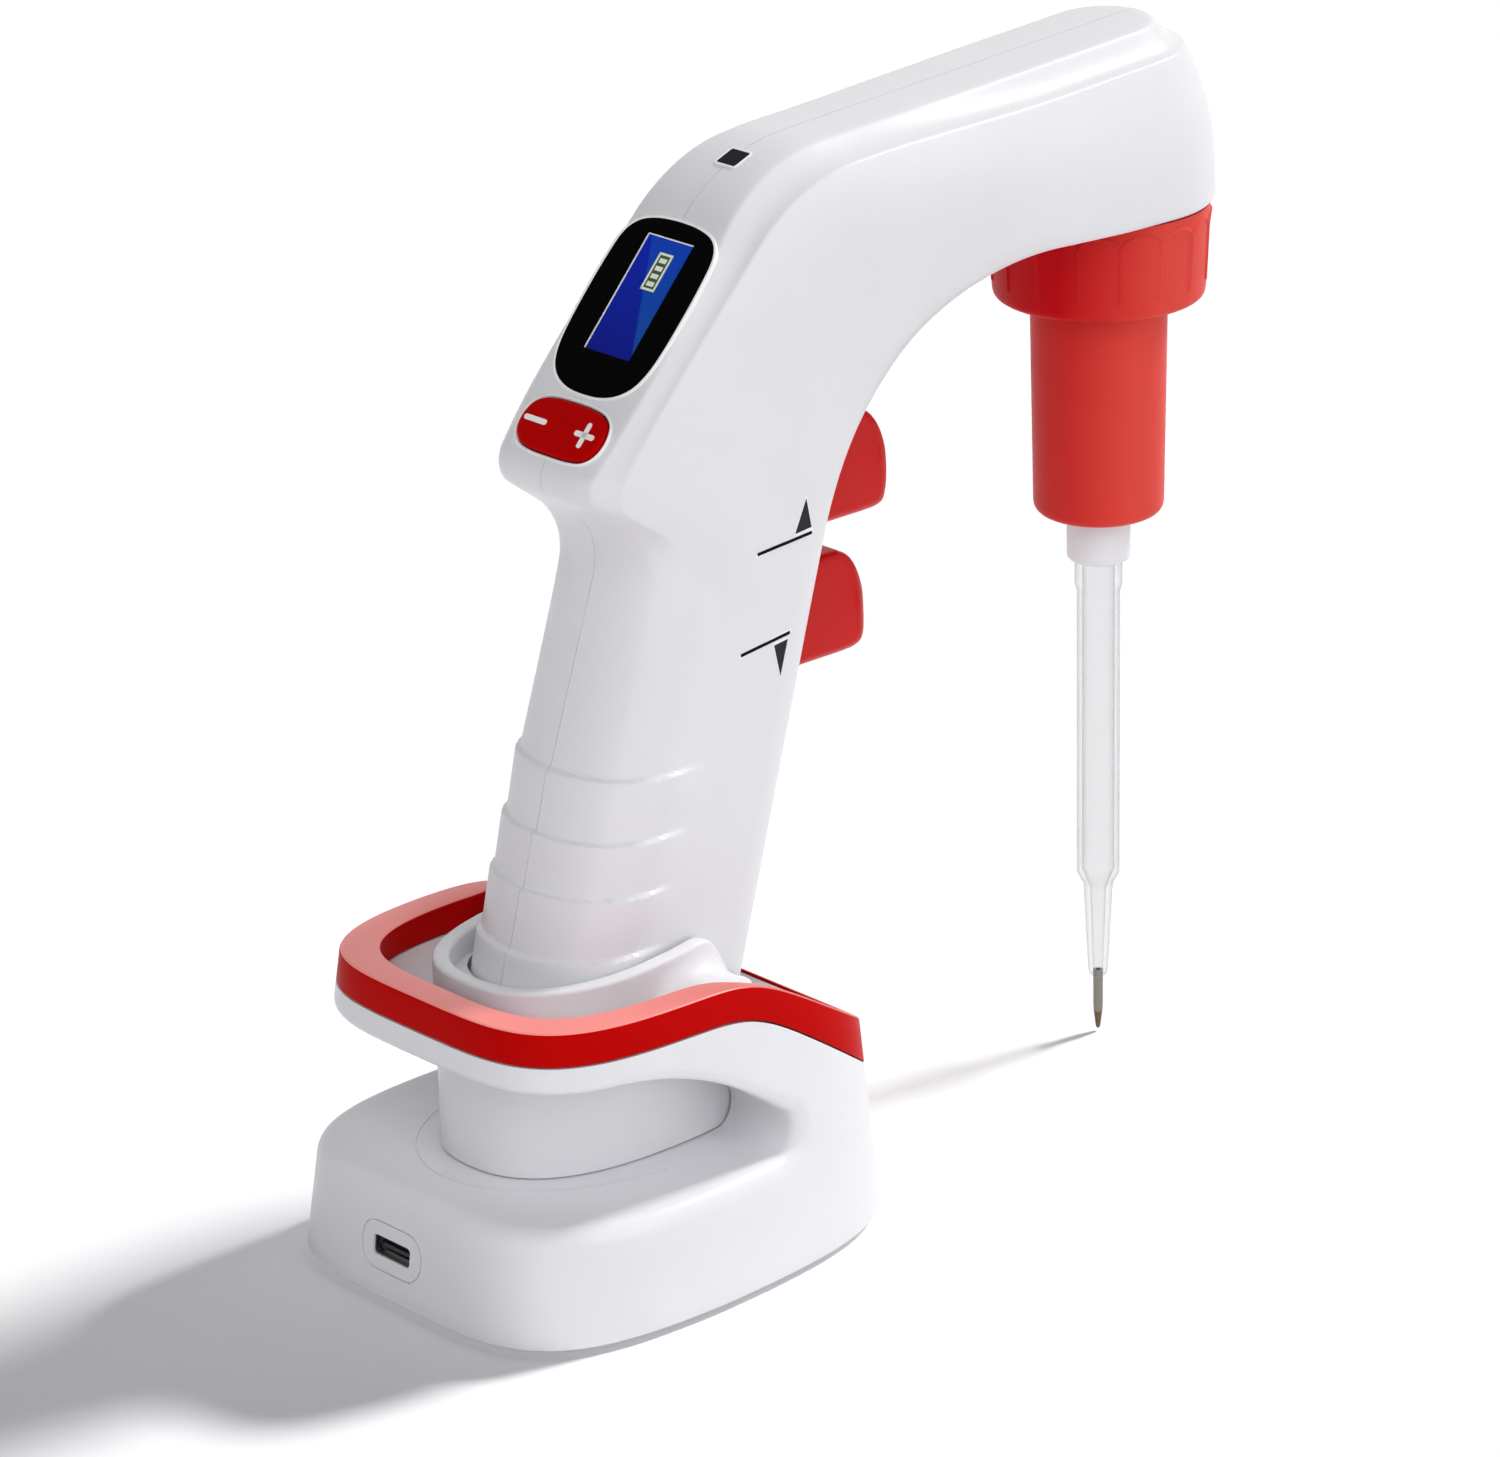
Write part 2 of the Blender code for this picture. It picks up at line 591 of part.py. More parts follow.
def half_section(place, depth, inset):
    """Half a cross section, from the crest to the floor: (half width, depth)."""
    band, reach, cove, half, fullness, corner, grip = section_values(place)
    half -= inset
    reach -= inset * 0.7
    band -= inset * 0.3
    corner = max(corner - inset, 0.4 * mm)
    rear = GRIP_REAR_CORNER - inset
    barrel = []
    for index in range(CROWN_STEPS):
        share = index / CROWN_STEPS
        barrel.append((band * share ** 0.25, EDGE_DROP * share * 0.7))
    for index in range(COVE_STEPS):
        share = index / COVE_STEPS
        barrel.append((band + (reach - band) * share,
                       EDGE_DROP + (cove - EDGE_DROP) * math.sin(math.pi / 2 * share)))
    flank = depth - corner - cove
    for index in range(SIDE_STEPS):
        share = (index / SIDE_STEPS) ** 1.6
        barrel.append((half - (half - reach) * (1 - share) ** fullness,
                       cove + flank * share))
    turn_count = CROWN_STEPS + COVE_STEPS
    grip_line = []
    for index in range(turn_count):
        share = index / turn_count
        flat = half - rear
        bend = share ** 1.15 * math.pi / 2
        grip_line.append((flat * min(1.0, share * 2) + rear * math.sin(bend),
                          rear * (1 - math.cos(bend))))
    flank = depth - corner - rear
    for index in range(SIDE_STEPS):
        grip_line.append((half, rear + flank * index / SIDE_STEPS))
    line = [(a[0] + (b[0] - a[0]) * grip, a[1] + (b[1] - a[1]) * grip)
            for a, b in zip(barrel, grip_line)]
    for index in range(CORNER_STEPS):
        bend = math.pi / 2 * index / CORNER_STEPS
        line.append((half - corner + corner * math.cos(bend),
                     depth - corner + corner * math.sin(bend)))
    for index in range(FLOOR_STEPS + 1):
        line.append(((half - corner) * (1 - index / FLOOR_STEPS), depth))
    return line


def handset_chords():
    """Crest-to-floor lines all along the handset, as (place, floor, crest)."""
    chords = []
    start = CROOK_CENTRE.x
    for index in range(30):
        place = index / 30
        floor = Vector((NOZZLE_X + (start - NOZZLE_X) * place, BARREL_FLOOR))
        chords.append((place, floor, crossing(CREST_PATH, floor, Vector((0, 1)))))
    for index in range(80):
        place = index / 80
        angle = math.pi / 2 + CROOK_TURN * place
        spoke = Vector((math.cos(angle), math.sin(angle)))
        floor = CROOK_CENTRE + spoke * CROOK_RADIUS
        chords.append((1 + place, floor, crossing(CREST_PATH, floor, spoke)))
    for index in range(161):
        place = index / 160
        floor = GRIP_TOP + GRIP_DOWN * GRIP_LENGTH * place
        chords.append((2 + place, floor, crossing(CREST_PATH, floor, GRIP_BACK)))
    return chords


def spread(chords, count):
    """Pick chords so that they crowd where the outline bends."""
    travel = [0.0]
    for before, middle, after in zip(chords, chords[1:], chords[2:] + chords[-1:]):
        step = middle[2] - before[2]
        ahead = after[2] - middle[2]
        bend = step.angle(ahead, 0.0) if step.length and ahead.length else 0.0
        travel.append(travel[-1] + step.length + 14 * mm * bend
                      + 0.3 * (middle[1] - before[1]).length)
    picked = []
    index = 0
    for number in range(count):
        goal = travel[-1] * number / (count - 1)
        while index < len(travel) - 2 and travel[index + 1] < goal:
            index += 1
        share = (goal - travel[index]) / (travel[index + 1] - travel[index])
        share = max(0.0, min(1.0, share))
        low = chords[index]
        high = chords[index + 1]
        picked.append((low[0] + (high[0] - low[0]) * share,
                       low[1].lerp(high[1], share), low[2].lerp(high[2], share)))
    return picked


CHORDS = spread(handset_chords(), 34)
NOSE_FAN = 6


def skin_rows(side, inset):
    """Rows of points over one half of the handset, outer or inner skin."""
    rows = []
    spokes = [math.pi / 2 * (1 - index / NOSE_FAN) for index in range(NOSE_FAN)]
    stations = [(CHORDS[0], angle) for angle in spokes]
    stations += [(chord, 0.0) for chord in CHORDS]
    for number, ((place, floor, crest), angle) in enumerate(stations):
        inward = (floor - crest).normalized()
        lean = 1.0
        index = number - NOSE_FAN
        if 0 < index < len(CHORDS) - 1:
            along = CHORDS[index + 1][2] - CHORDS[index - 1][2]
            lean = max(0.45, abs(math.sin(inward.angle(along))))
        top = inset / lean
        depth = (floor - crest).length - top - inset
        row = []
        for width, down in half_section(place, depth, inset):
            spot = crest + inward * (top + down)
            out = max(width * math.cos(angle), HALF_GAP)
            ahead = width * math.sin(angle)
            rise = CREST_SLOPE * ahead * (1 - down / depth)
            row.append(Vector((spot.x + ahead, side * out, spot.y + rise)))
        rows.append(row)
    return rows


def half_shell(name, side):
    """One moulded half: outer skin, inner skin and the rim between them."""
    outer = skin_rows(side, 0.0)
    inner = skin_rows(side, WALL)
    shape = bmesh.new()
    skins = []
    for rows in (outer, inner):
        points = [[shape.verts.new(point) for point in row] for row in rows]
        skins.append(points)
        for row, following in zip(points, points[1:]):
            for index in range(len(row) - 1):
                shape.faces.new((row[index], row[index + 1],
                                 following[index + 1], following[index]))
    borders = []
    for points in skins:
        border = [row[0] for row in points]
        border += points[-1][1:]
        border += [row[-1] for row in reversed(points[:-1])]
        border += list(reversed(points[0][1:-1]))
        borders.append(border)
    count = len(borders[0])
    for index in range(count):
        follow = (index + 1) % count
        shape.faces.new((borders[0][index], borders[0][follow],
                         borders[1][follow], borders[1][index]))
    bmesh.ops.dissolve_degenerate(shape, dist=1e-7, edges=shape.edges)
    return keep(name, mesh_of(shape), WHITE)


def grip_ring(distance, grow):
    """The grip's full cross section near its end, grown by a margin."""
    depth = (CHORDS[-1][1] - CHORDS[-1][2]).length
    line = half_section(3.0, depth + 2 * grow, -grow)
    ring = [(width, down - grow) for width, down in line]
    ring += [(-width, down - grow) for width, down in reversed(line[1:-1])]
    return [grip_point(distance, depth - down, width) for width, down in ring]


# Stand outline in plan
def plan_spot(angle, height, inset):
    """A point of the stand's outline at a height, drawn in by a margin."""
    along = math.cos(angle)
    across = math.sin(angle)
    power = 2 / STAND_SQUARENESS
    if along > 0:
        half_length = STAND_FRONT - FRONT_DRAFT * height - inset
    else:
        half_length = STAND_REAR - REAR_DRAFT * height - inset
    x = STAND_MIDDLE_X + half_length * math.copysign(abs(along) ** power, along)
    front = STAND_MIDDLE_X + STAND_FRONT - STAND_WIDEST_X
    ahead = max(0.0, x - STAND_WIDEST_X) / front
    reach = STAND_HALF_WIDTH - SIDE_DRAFT * height - inset - FRONT_NARROWING * ahead ** 2
    return Vector((x, reach * math.copysign(abs(across) ** power, across), height))


def even_angles(count):
    """Angles whose outline points stand evenly apart around the plan."""
    fine = [2 * math.pi * index / 720 for index in range(721)]
    spots = [plan_spot(angle, 0.0, 0.0) for angle in fine]
    travel = [0.0]
    for before, after in zip(spots, spots[1:]):
        travel.append(travel[-1] + (after - before).length)
    angles = []
    index = 0
    for number in range(count):
        goal = travel[-1] * number / count
        while travel[index + 1] < goal:
            index += 1
        share = (goal - travel[index]) / (travel[index + 1] - travel[index])
        angles.append(fine[index] + (fine[index + 1] - fine[index]) * share)
    return angles


PLAN_ANGLES = even_angles(60)
TRIM_ANGLES = even_angles(96)


def plan_ring(height, inset):
    return [plan_spot(angle, height, inset) for angle in PLAN_ANGLES]


def cup_ring(height, inset, count=40):
    """The socket's oval outline at a height."""
    slim = CUP_DRAFT * (RIM_TOP - height) + inset
    power = 2 / CUP_SQUARENESS
    ring = []
    for index in range(count):
        angle = 2 * math.pi * index / count
        across = math.copysign(abs(math.sin(angle)) ** power, math.sin(angle))
        along = math.copysign(abs(math.cos(angle)) ** power, math.cos(angle))
        ring.append(Vector((CUP_CENTRE_X + (CUP_LENGTH / 2 - inset) * along,
                            (CUP_WIDTH / 2 - slim) * across, height)))
    return ring


def falling_line(x, level, break_x, fall):
    """A line that is level at the rear and falls evenly towards the front."""
    soft = math.log1p(math.exp((x - break_x) / RIM_SOFTNESS)) * RIM_SOFTNESS
    return level - fall * soft


def rim_height(x):
    return falling_line(x, RIM_TOP, RIM_BREAK_X, RIM_FALL)


def band_height(x):
    return falling_line(x, RIM_TOP - RIM_BAND, BAND_BREAK_X, BAND_FALL)


STAND_BACK = STAND_MIDDLE_X - STAND_REAR
STAND_NOSE = STAND_MIDDLE_X + STAND_FRONT
BEYOND = 2 * STAND_HALF_WIDTH   # well outside the stand in every direction
SKY = CREST_HEIGHT


def above(line, count=44):
    """Side outline of everything above a line that runs rear to front."""
    points = [(-BEYOND, line(STAND_BACK))]
    for index in range(count + 1):
        x = STAND_BACK + (STAND_NOSE - STAND_BACK) * index / count
        points.append((x, line(x)))
    points += [(BEYOND, line(STAND_NOSE)), (BEYOND, SKY), (-BEYOND, SKY)]
    return points


def screw_profile(point, seat, head, grow=0.0):
    """A screw's outline from its point down to its head, or from head to point."""
    shank = SCREW_RADIUS + grow
    rim = SCREW_HEAD_RADIUS + grow
    return [(0.0, point), (shank, point), (shank, seat), (rim, seat), (rim, head), (0.0, head)]


# Stand
def gap_ceiling(x):
    """Underside of the arm over the finger gap."""
    level = RIM_TOP - RIM_BAND - ARM_THICKNESS
    ahead = max(0.0, x - (GAP_FRONT_X - GAP_ROUNDING - GAP_SWEEP * 1.5)) / (GAP_SWEEP * 1.5)
    return level - GAP_TOP_RISE * ahead ** 2


def finger_gap_outline():
    nose = GAP_FRONT_X - GAP_ROUNDING
    points = [(-BEYOND, SLAB_TOP), (nose, SLAB_TOP)]
    for index in range(1, 6):
        angle = -math.pi / 2 + math.radians(120) * index / 5
        points.append((nose + GAP_ROUNDING * math.cos(angle),
                       SLAB_TOP + GAP_ROUNDING * (1 + math.sin(angle))))
    for index in range(12):
        x = nose + (STAND_BACK - nose) * index / 11
        points.append((x, gap_ceiling(x)))
    points.append((-BEYOND, gap_ceiling(STAND_BACK)))
    return points


def base_screw_places():
    for end, x, y in (("rear", -BASE_SCREW_X, BASE_SCREW_Y),
                      ("front", BASE_SCREW_X, BASE_SCREW_Y - FRONT_NARROWING / 3)):
        for name, side in SIDES:
            yield end + "_" + name, x, side * y


def make_base_shell():
    shell = keep("base_shell", loft_mesh([
        plan_ring(SHELL_FOOT, 0.0), plan_ring(RIM_TOP, 0.0)]), WHITE)
    cut(shell, cutter("arm_top_cutter", side_prism(
        above(lambda x: band_height(x) - SEAT_GAP), BEYOND)))
    cut(shell, cutter("finger_gap_cutter", side_prism(finger_gap_outline(), BEYOND)))
    cut(shell, cutter("cup_hole_cutter", loft_mesh([
        cup_ring(SLAB_TOP, -SEAT_GAP), cup_ring(RIM_TOP * 1.1, -SEAT_GAP)])))
    cut(shell, cutter("cavity_cutter", loft_mesh([
        plan_ring(0.0, STAND_WALL), plan_ring(CAVITY_TOP, STAND_WALL + 1.0 * mm)])))
    bosses = []
    pilots = []
    plate_top = PAD_THICKNESS + SEAT_GAP + PLATE_THICKNESS
    for name, x, y in base_screw_places():
        bosses.append(rod_mesh((x, y, plate_top + SEAT_GAP), (x, y, CAVITY_TOP + 1.2 * mm),
                               BASE_BOSS_RADIUS, 16))
        pilots.append(rod_mesh((x, y, 0), (x, y, CAVITY_TOP - 3 * mm),
                               SCREW_RADIUS + SEAT_GAP, 12))
    cut(shell, cutter("base_boss_joiner", joined_mesh(bosses)), "UNION")
    cut(shell, cutter("base_pilot_cutter", joined_mesh(pilots)))
    well = rod_mesh((CUP_CENTRE_X, 0, CAVITY_TOP - 2 * mm), (CUP_CENTRE_X, 0, RIM_TOP),
                    WIRE_WELL_RADIUS - 3 * mm, 20)
    cut(shell, cutter("wire_hole_cutter", well))
    mouth = frame_matrix((-BEYOND, USB_SIDE, USB_HEIGHT), LEFT, UP)
    cut(shell, cutter("usb_mouth_cutter", prism_mesh(
        rounded_rectangle(USB_WIDTH + 2 * SEAT_GAP, USB_THICKNESS + 2 * SEAT_GAP,
                          USB_THICKNESS / 2), 0.0, BEYOND + STAND_BACK + 3 * STAND_WALL, mouth)))
    return shell


def trim_width(x):
    """The trim is wide around the rear and slim along its falling front."""
    ahead = 1 / (1 + math.exp(-(x - TRIM_NARROW_X) / TRIM_NARROW_RUN))
    return TRIM_WIDTH + (TRIM_FRONT_WIDTH - TRIM_WIDTH) * ahead


def inside_trim(height):
    """The outline just inside the trim."""
    ring = []
    for angle in TRIM_ANGLES:
        x = plan_spot(angle, RIM_TOP, 0.0).x
        ring.append(plan_spot(angle, height, trim_width(x) + SEAT_GAP))
    return ring


def make_ring_trim():
    """The band around the arm: one closed ring of four-sided sections."""
    shape = bmesh.new()
    rows = []
    for angle in TRIM_ANGLES:
        x = plan_spot(angle, RIM_TOP, 0.0).x
        width = trim_width(x)
        row = []
        for line, inset in ((band_height, 0.0), (rim_height, 0.0),
                            (rim_height, width), (band_height, width)):
            height = line(x)
            for settle in range(3):
                height = line(plan_spot(angle, height, inset).x)
            row.append(shape.verts.new(plan_spot(angle, height, inset)))
        rows.append(row)
    for row, following in zip(rows, rows[1:] + rows[:1]):
        for index in range(4):
            follow = (index + 1) % 4
            shape.faces.new((row[index], row[follow], following[follow], following[index]))
    return keep("ring_trim", mesh_of(shape), RED)


def cup_top(x):
    """Height of the socket's rim, then of the saddle in front of it."""
    if x < CUP_PEAK_X:
        share = max(0.0, (x + CUP_LENGTH / 2) / (CUP_PEAK_X + CUP_LENGTH / 2))
        return CUP_RIM_REAR + (CUP_PEAK - CUP_RIM_REAR) * share ** 2
    saddle = rim_height(x) - SADDLE_DROP
    share = min(1.0, (x - CUP_PEAK_X) / CUP_FALL_RUN)
    ease = 1 - (1 - share) ** 2
    fallen = CUP_PEAK - CUP_FALL * ease
    return max(saddle, fallen) if share < 1.0 else saddle


def make_socket_cup():
    cup = keep("socket_cup", loft_mesh([
        cup_ring(SLAB_TOP + SEAT_GAP, 0.0), cup_ring(CUP_PEAK * 1.05, 0.0)]), WHITE)
    saddle_outline = [(SADDLE_START_X, SKY), (SADDLE_START_X, band_height(SADDLE_START_X))]
    for index in range(15):
        x = SADDLE_START_X + (STAND_NOSE - SADDLE_START_X) * index / 14
        saddle_outline.append((x, band_height(x)))
    saddle_outline.append((STAND_NOSE, SKY))
    saddle = keep("saddle_joiner", loft_mesh([inside_trim(0.0), inside_trim(CUP_PEAK)]),
                  None, CUTTERS)
    keep_front = cutter("saddle_keeper", side_prism(saddle_outline, BEYOND))
    cut(saddle, keep_front, "INTERSECT")
    cut(cup, saddle, "UNION")
    cut(cup, cutter("cup_top_cutter", side_prism(above(cup_top, 60), BEYOND)))
    bottom = GRIP_LENGTH + CAP_THICKNESS + 2 * SEAT_GAP + CONTACT_THICKNESS
    seat = loft_mesh([grip_ring(bottom, SEAT_CLEARANCE), grip_ring(0.0, SEAT_CLEARANCE)])
    cut(cup, cutter("seat_cutter", seat))
    mouth_floor = grip_point(GRIP_LENGTH - 2 * mm, 0.0).z + GRIP_HALF_WIDTH
    cut(cup, cutter("cup_mouth_cutter", loft_mesh([
        cup_ring(mouth_floor, CUP_WALL), cup_ring(CUP_PEAK * 1.2, CUP_WALL)])))
    well_top = grip_point(bottom, CELL_DEPTH).z - 4 * mm
    cut(cup, cutter("wire_well_cutter", rod_mesh(
        (CUP_CENTRE_X, 0, SLAB_TOP - 5 * mm), (CUP_CENTRE_X, 0, well_top),
        WIRE_WELL_RADIUS, 24)))
    for name, side in SIDES:
        offset = side * CONTACT_SPREAD
        cut(cup, cutter("stud_hole_cutter_" + name, rod_mesh(
            grip_point(bottom - 3 * mm, CELL_DEPTH, offset),
            grip_point(bottom + STUD_LENGTH * 2, CELL_DEPTH, offset),
            STUD_RADIUS + SEAT_GAP, 14)))
        keep("charge_stud_" + name, rod_mesh(
            grip_point(bottom - CONTACT_THICKNESS + SEAT_GAP, CELL_DEPTH, offset),
            grip_point(bottom + STUD_LENGTH, CELL_DEPTH, offset), STUD_RADIUS, 14), BRASS)
    return cup


def make_stand_inside():
    plate_low = PAD_THICKNESS + SEAT_GAP
    plate_high = plate_low + PLATE_THICKNESS
    keep("non_slip_pad", loft_mesh([
        plan_ring(0.0, PAD_INSET), plan_ring(PAD_THICKNESS, PAD_INSET)]), RUBBER)
    plate = keep("base_plate", loft_mesh([
        plan_ring(plate_low, STAND_WALL + SEAT_GAP),
        plan_ring(plate_high, STAND_WALL + SEAT_GAP)]), GREY)
    for name, x, y in base_screw_places():
        head_top = plate_low + SCREW_HEAD
        turned("base_screw_" + name, screw_profile(CAVITY_TOP - 4 * mm, head_top, plate_low),
               STEEL, (x, y, 0), 14)
        hole = turned("base_screw_hole_cutter_" + name,
                      screw_profile(SLAB_TOP, head_top + SEAT_GAP, 0.0, SEAT_GAP),
                      None, (x, y, 0), 14, CUTTERS)
        cut(plate, hole)

    post_low = plate_high + SEAT_GAP
    board_low = post_low + POST_HEIGHT + SEAT_GAP
    board_high = board_low + BOARD_THICKNESS
    rear = STAND_BACK + REAR_DRAFT * USB_HEIGHT + STAND_WALL + 1.2 * mm
    keep("board_tray", block_mesh(
        (rear, -STAND_BOARD_HALF_WIDTH, post_low),
        (rear + STAND_BOARD_LENGTH, STAND_BOARD_HALF_WIDTH, post_low + POST_HEIGHT)), BLACK)
    keep("stand_board", block_mesh((rear, -STAND_BOARD_HALF_WIDTH, board_low),
                                   (rear + STAND_BOARD_LENGTH, STAND_BOARD_HALF_WIDTH,
                                    board_high)), GREEN)
    mouth_x = rear - 2.6 * mm
    frame = frame_matrix((mouth_x, USB_SIDE, USB_HEIGHT), LEFT, UP)
    radius = USB_THICKNESS / 2 - 0.05 * mm
    usb = keep("usb_socket", prism_mesh(rounded_rectangle(USB_WIDTH, USB_THICKNESS, radius),
                                        0.0, USB_DEPTH, frame), STEEL)
    cut(usb, cutter("usb_bore_cutter", prism_mesh(
        rounded_rectangle(USB_WIDTH - 2 * USB_WALL, USB_THICKNESS - 2 * USB_WALL,
                          radius - USB_WALL), -1 * mm, USB_DEPTH - 1 * mm, frame)))
    tongue = USB_WIDTH / 2 - USB_WALL - 1.1 * mm
    keep("usb_tongue", block_mesh((-tongue, -0.35 * mm, 0.8 * mm),
                                  (tongue, 0.35 * mm, USB_DEPTH - 1 * mm - SEAT_GAP), frame),
         BLACK)
    keep("ballast", block_mesh((BALLAST_REAR_X, -BALLAST_HALF_WIDTH, plate_high + SEAT_GAP),
                               (BALLAST_REAR_X + BALLAST_LENGTH, BALLAST_HALF_WIDTH,
                                plate_high + SEAT_GAP + BALLAST_THICKNESS), None, 1 * mm),
         STEEL)


# Handset shells and what shows on them
def make_housings():
    halves = [half_shell("housing_right", -1), half_shell("housing_left", 1)]
    shared = [cutter("nose_bore_cutter", rod_mesh(
        (NOZZLE_X, 0, BARREL_FLOOR - BORE_OUTSIDE),
        (NOZZLE_X, 0, BARREL_FLOOR + WALL + BORE_INSIDE),
        SPIGOT_RADIUS + SEAT_GAP, 32))]
    for name, height in (("upper", UPPER_TRIGGER_HEIGHT), ("lower", LOWER_TRIGGER_HEIGHT)):
        tall = TRIGGER_TALL / 2 + SLIDE_GAP
        wide = TRIGGER_HALF_WIDTH + SLIDE_GAP
        face = front_x(height)
        shared.append(cutter(name + "_trigger_window_cutter", block_mesh(
            (face - TRIGGER_WINDOW_REAR, -wide, height - tall),
            (face + TRIGGER_WINDOW_FRONT, wide, height + tall))))
    shared.append(cutter("window_pocket_cutter", prism_mesh(
        rounded_rectangle(WINDOW_LENGTH + 2 * SEAT_GAP, WINDOW_WIDTH + 2 * SEAT_GAP,
                          WINDOW_CORNER), -WINDOW_THICKNESS - SEAT_GAP, OUTSIDE,
        slope_frame(WINDOW_CENTRE))))
    shared.append(cutter("screen_opening_cutter", prism_mesh(
        rounded_rectangle(SCREEN_LENGTH + 2 * SEAT_GAP, SCREEN_WIDTH + 2 * SEAT_GAP, LEDGE / 2),
        -OUTSIDE, OUTSIDE, slope_frame(SCREEN_CENTRE))))
    shared.append(cutter("rocker_opening_cutter", prism_mesh(
        rounded_rectangle(ROCKER_LENGTH + 2 * SLIDE_GAP, ROCKER_WIDTH + 2 * SLIDE_GAP,
                          ROCKER_CORNER + SLIDE_GAP), -ROCKER_POCKET, OUTSIDE,
        slope_frame(ROCKER_CENTRE))))
    shared.append(cutter("indicator_opening_cutter", block_mesh(
        (-INDICATOR_LENGTH / 2 - SEAT_GAP, -INDICATOR_WIDTH / 2 - SEAT_GAP, -INDICATOR_CUT),
        (INDICATOR_LENGTH / 2 + SEAT_GAP, INDICATOR_WIDTH / 2 + SEAT_GAP, INDICATOR_CUT),
        indicator_frame())))
    pilots = [rod_mesh((x, -SCREW_END - 1 * mm, z), (x, SCREW_HEAD_SEAT, z),
                       SCREW_RADIUS + SEAT_GAP, 12)
              for name, x, z, reach in SCREW_PLACES]
    heads = [rod_mesh((x, SCREW_HEAD_SEAT - SEAT_GAP, z), (x, NOSE_RADIUS + BORE_OUTSIDE, z),
                      SCREW_HEAD_RADIUS + SEAT_GAP, 16)
             for name, x, z, reach in SCREW_PLACES]
    shared.append(cutter("pilot_cutter", joined_mesh(pilots)))
    for half, side in zip(halves, (-1, 1)):
        bosses = [rod_mesh((x, side * HALF_GAP, z), (x, side * reach, z), BOSS_RADIUS, 16)
                  for name, x, z, reach in SCREW_PLACES]
        cut(half, cutter(half.name + "_boss_joiner", joined_mesh(bosses)), "UNION")
        for tool in shared:
            cut(half, tool)
    cut(halves[1], cutter("screw_head_cutter", joined_mesh(heads)))
    profile = screw_profile(SCREW_END, -SCREW_HEAD_SEAT, -SCREW_HEAD_SEAT - SCREW_HEAD)
    for name, x, z, reach in SCREW_PLACES:
        screw = turned("housing_screw_" + name, profile, STEEL, (x, 0, z), 14)
        screw.rotation_euler = (math.pi / 2, 0, 0)


def indicator_frame():
    """On the crest at the indicator: first axis along it, third outward."""
    straight_up = Vector((0, 1))
    spot = crossing(CREST_PATH, Vector((INDICATOR_X, BARREL_FLOOR)), straight_up)
    ahead = crossing(CREST_PATH, Vector((INDICATOR_X + 1 * mm, BARREL_FLOOR)), straight_up)
    along = Vector((spot.x - ahead.x, 0, spot.y - ahead.y))
    return frame_matrix((spot.x, 0, spot.y), along, -LEFT)


def make_display():
    keep("display_window", prism_mesh(
        rounded_rectangle(WINDOW_LENGTH, WINDOW_WIDTH, WINDOW_CORNER),
        -WINDOW_THICKNESS, 0.0, slope_frame(WINDOW_CENTRE)), BLACK)
    screen_top = -WINDOW_THICKNESS - SEAT_GAP
    keep("display_module", block_mesh(
        (-SCREEN_LENGTH / 2, -SCREEN_WIDTH / 2, screen_top - SCREEN_THICKNESS),
        (SCREEN_LENGTH / 2, SCREEN_WIDTH / 2, screen_top), slope_frame(SCREEN_CENTRE)), BLUE)
    board_top = screen_top - SCREEN_THICKNESS - SEAT_GAP
    board_start = SCREEN_CENTRE - SCREEN_LENGTH / 2
    keep("display_board", block_mesh(
        (board_start, -ROCKER_WIDTH / 2, board_top - BOARD_THICKNESS),
        (DISPLAY_BOARD_END, ROCKER_WIDTH / 2, board_top), slope_frame(0.0)), GREEN)
    low = ROCKER_PROUD - ROCKER_THICKNESS
    pin_radius = (low - board_top - 2 * SEAT_GAP) / 2
    pin_height = low - SEAT_GAP - pin_radius
    frame = slope_frame(ROCKER_CENTRE)
    keep("speed_rocker", prism_mesh(
        rounded_rectangle(ROCKER_LENGTH, ROCKER_WIDTH, ROCKER_CORNER), low, ROCKER_PROUD,
        frame), RED, origin=frame @ Vector((0, 0, pin_height)))
    keep("rocker_pin", rod_mesh(frame @ Vector((-ROCKER_LENGTH / 3, 0, pin_height)),
                                frame @ Vector((ROCKER_LENGTH / 5, 0, pin_height)),
                                pin_radius, 12), STEEL)
    for name, side in SIDES:
        middle = side * SWITCH_SPREAD
        keep("rocker_switch_" + name, block_mesh(
            (-SWITCH_SIZE * 0.8, middle - SWITCH_SIZE / 2, board_top + SEAT_GAP),
            (SWITCH_SIZE * 0.2, middle + SWITCH_SIZE / 2, low - 0.5 * mm), frame), GREY)
    keep("indicator_lens", block_mesh(
        (-INDICATOR_LENGTH / 2, -INDICATOR_WIDTH / 2, -INDICATOR_THICKNESS),
        (INDICATOR_LENGTH / 2, INDICATOR_WIDTH / 2, 0.0), indicator_frame()), BLACK)


# Triggers, their valves and springs
def flange_rear(height):
    """Rear face of a trigger's flange, which stays behind the housing's wall."""
    slant = math.tan(GRIP_FRONT_TILT) * TRIGGER_TALL / 2
    return front_x(height) - slant - WALL - FLANGE_CLEARANCE - FLANGE_THICKNESS


def valve_front(height):
    return flange_rear(height) - SPRING_LENGTH - 2 * SEAT_GAP


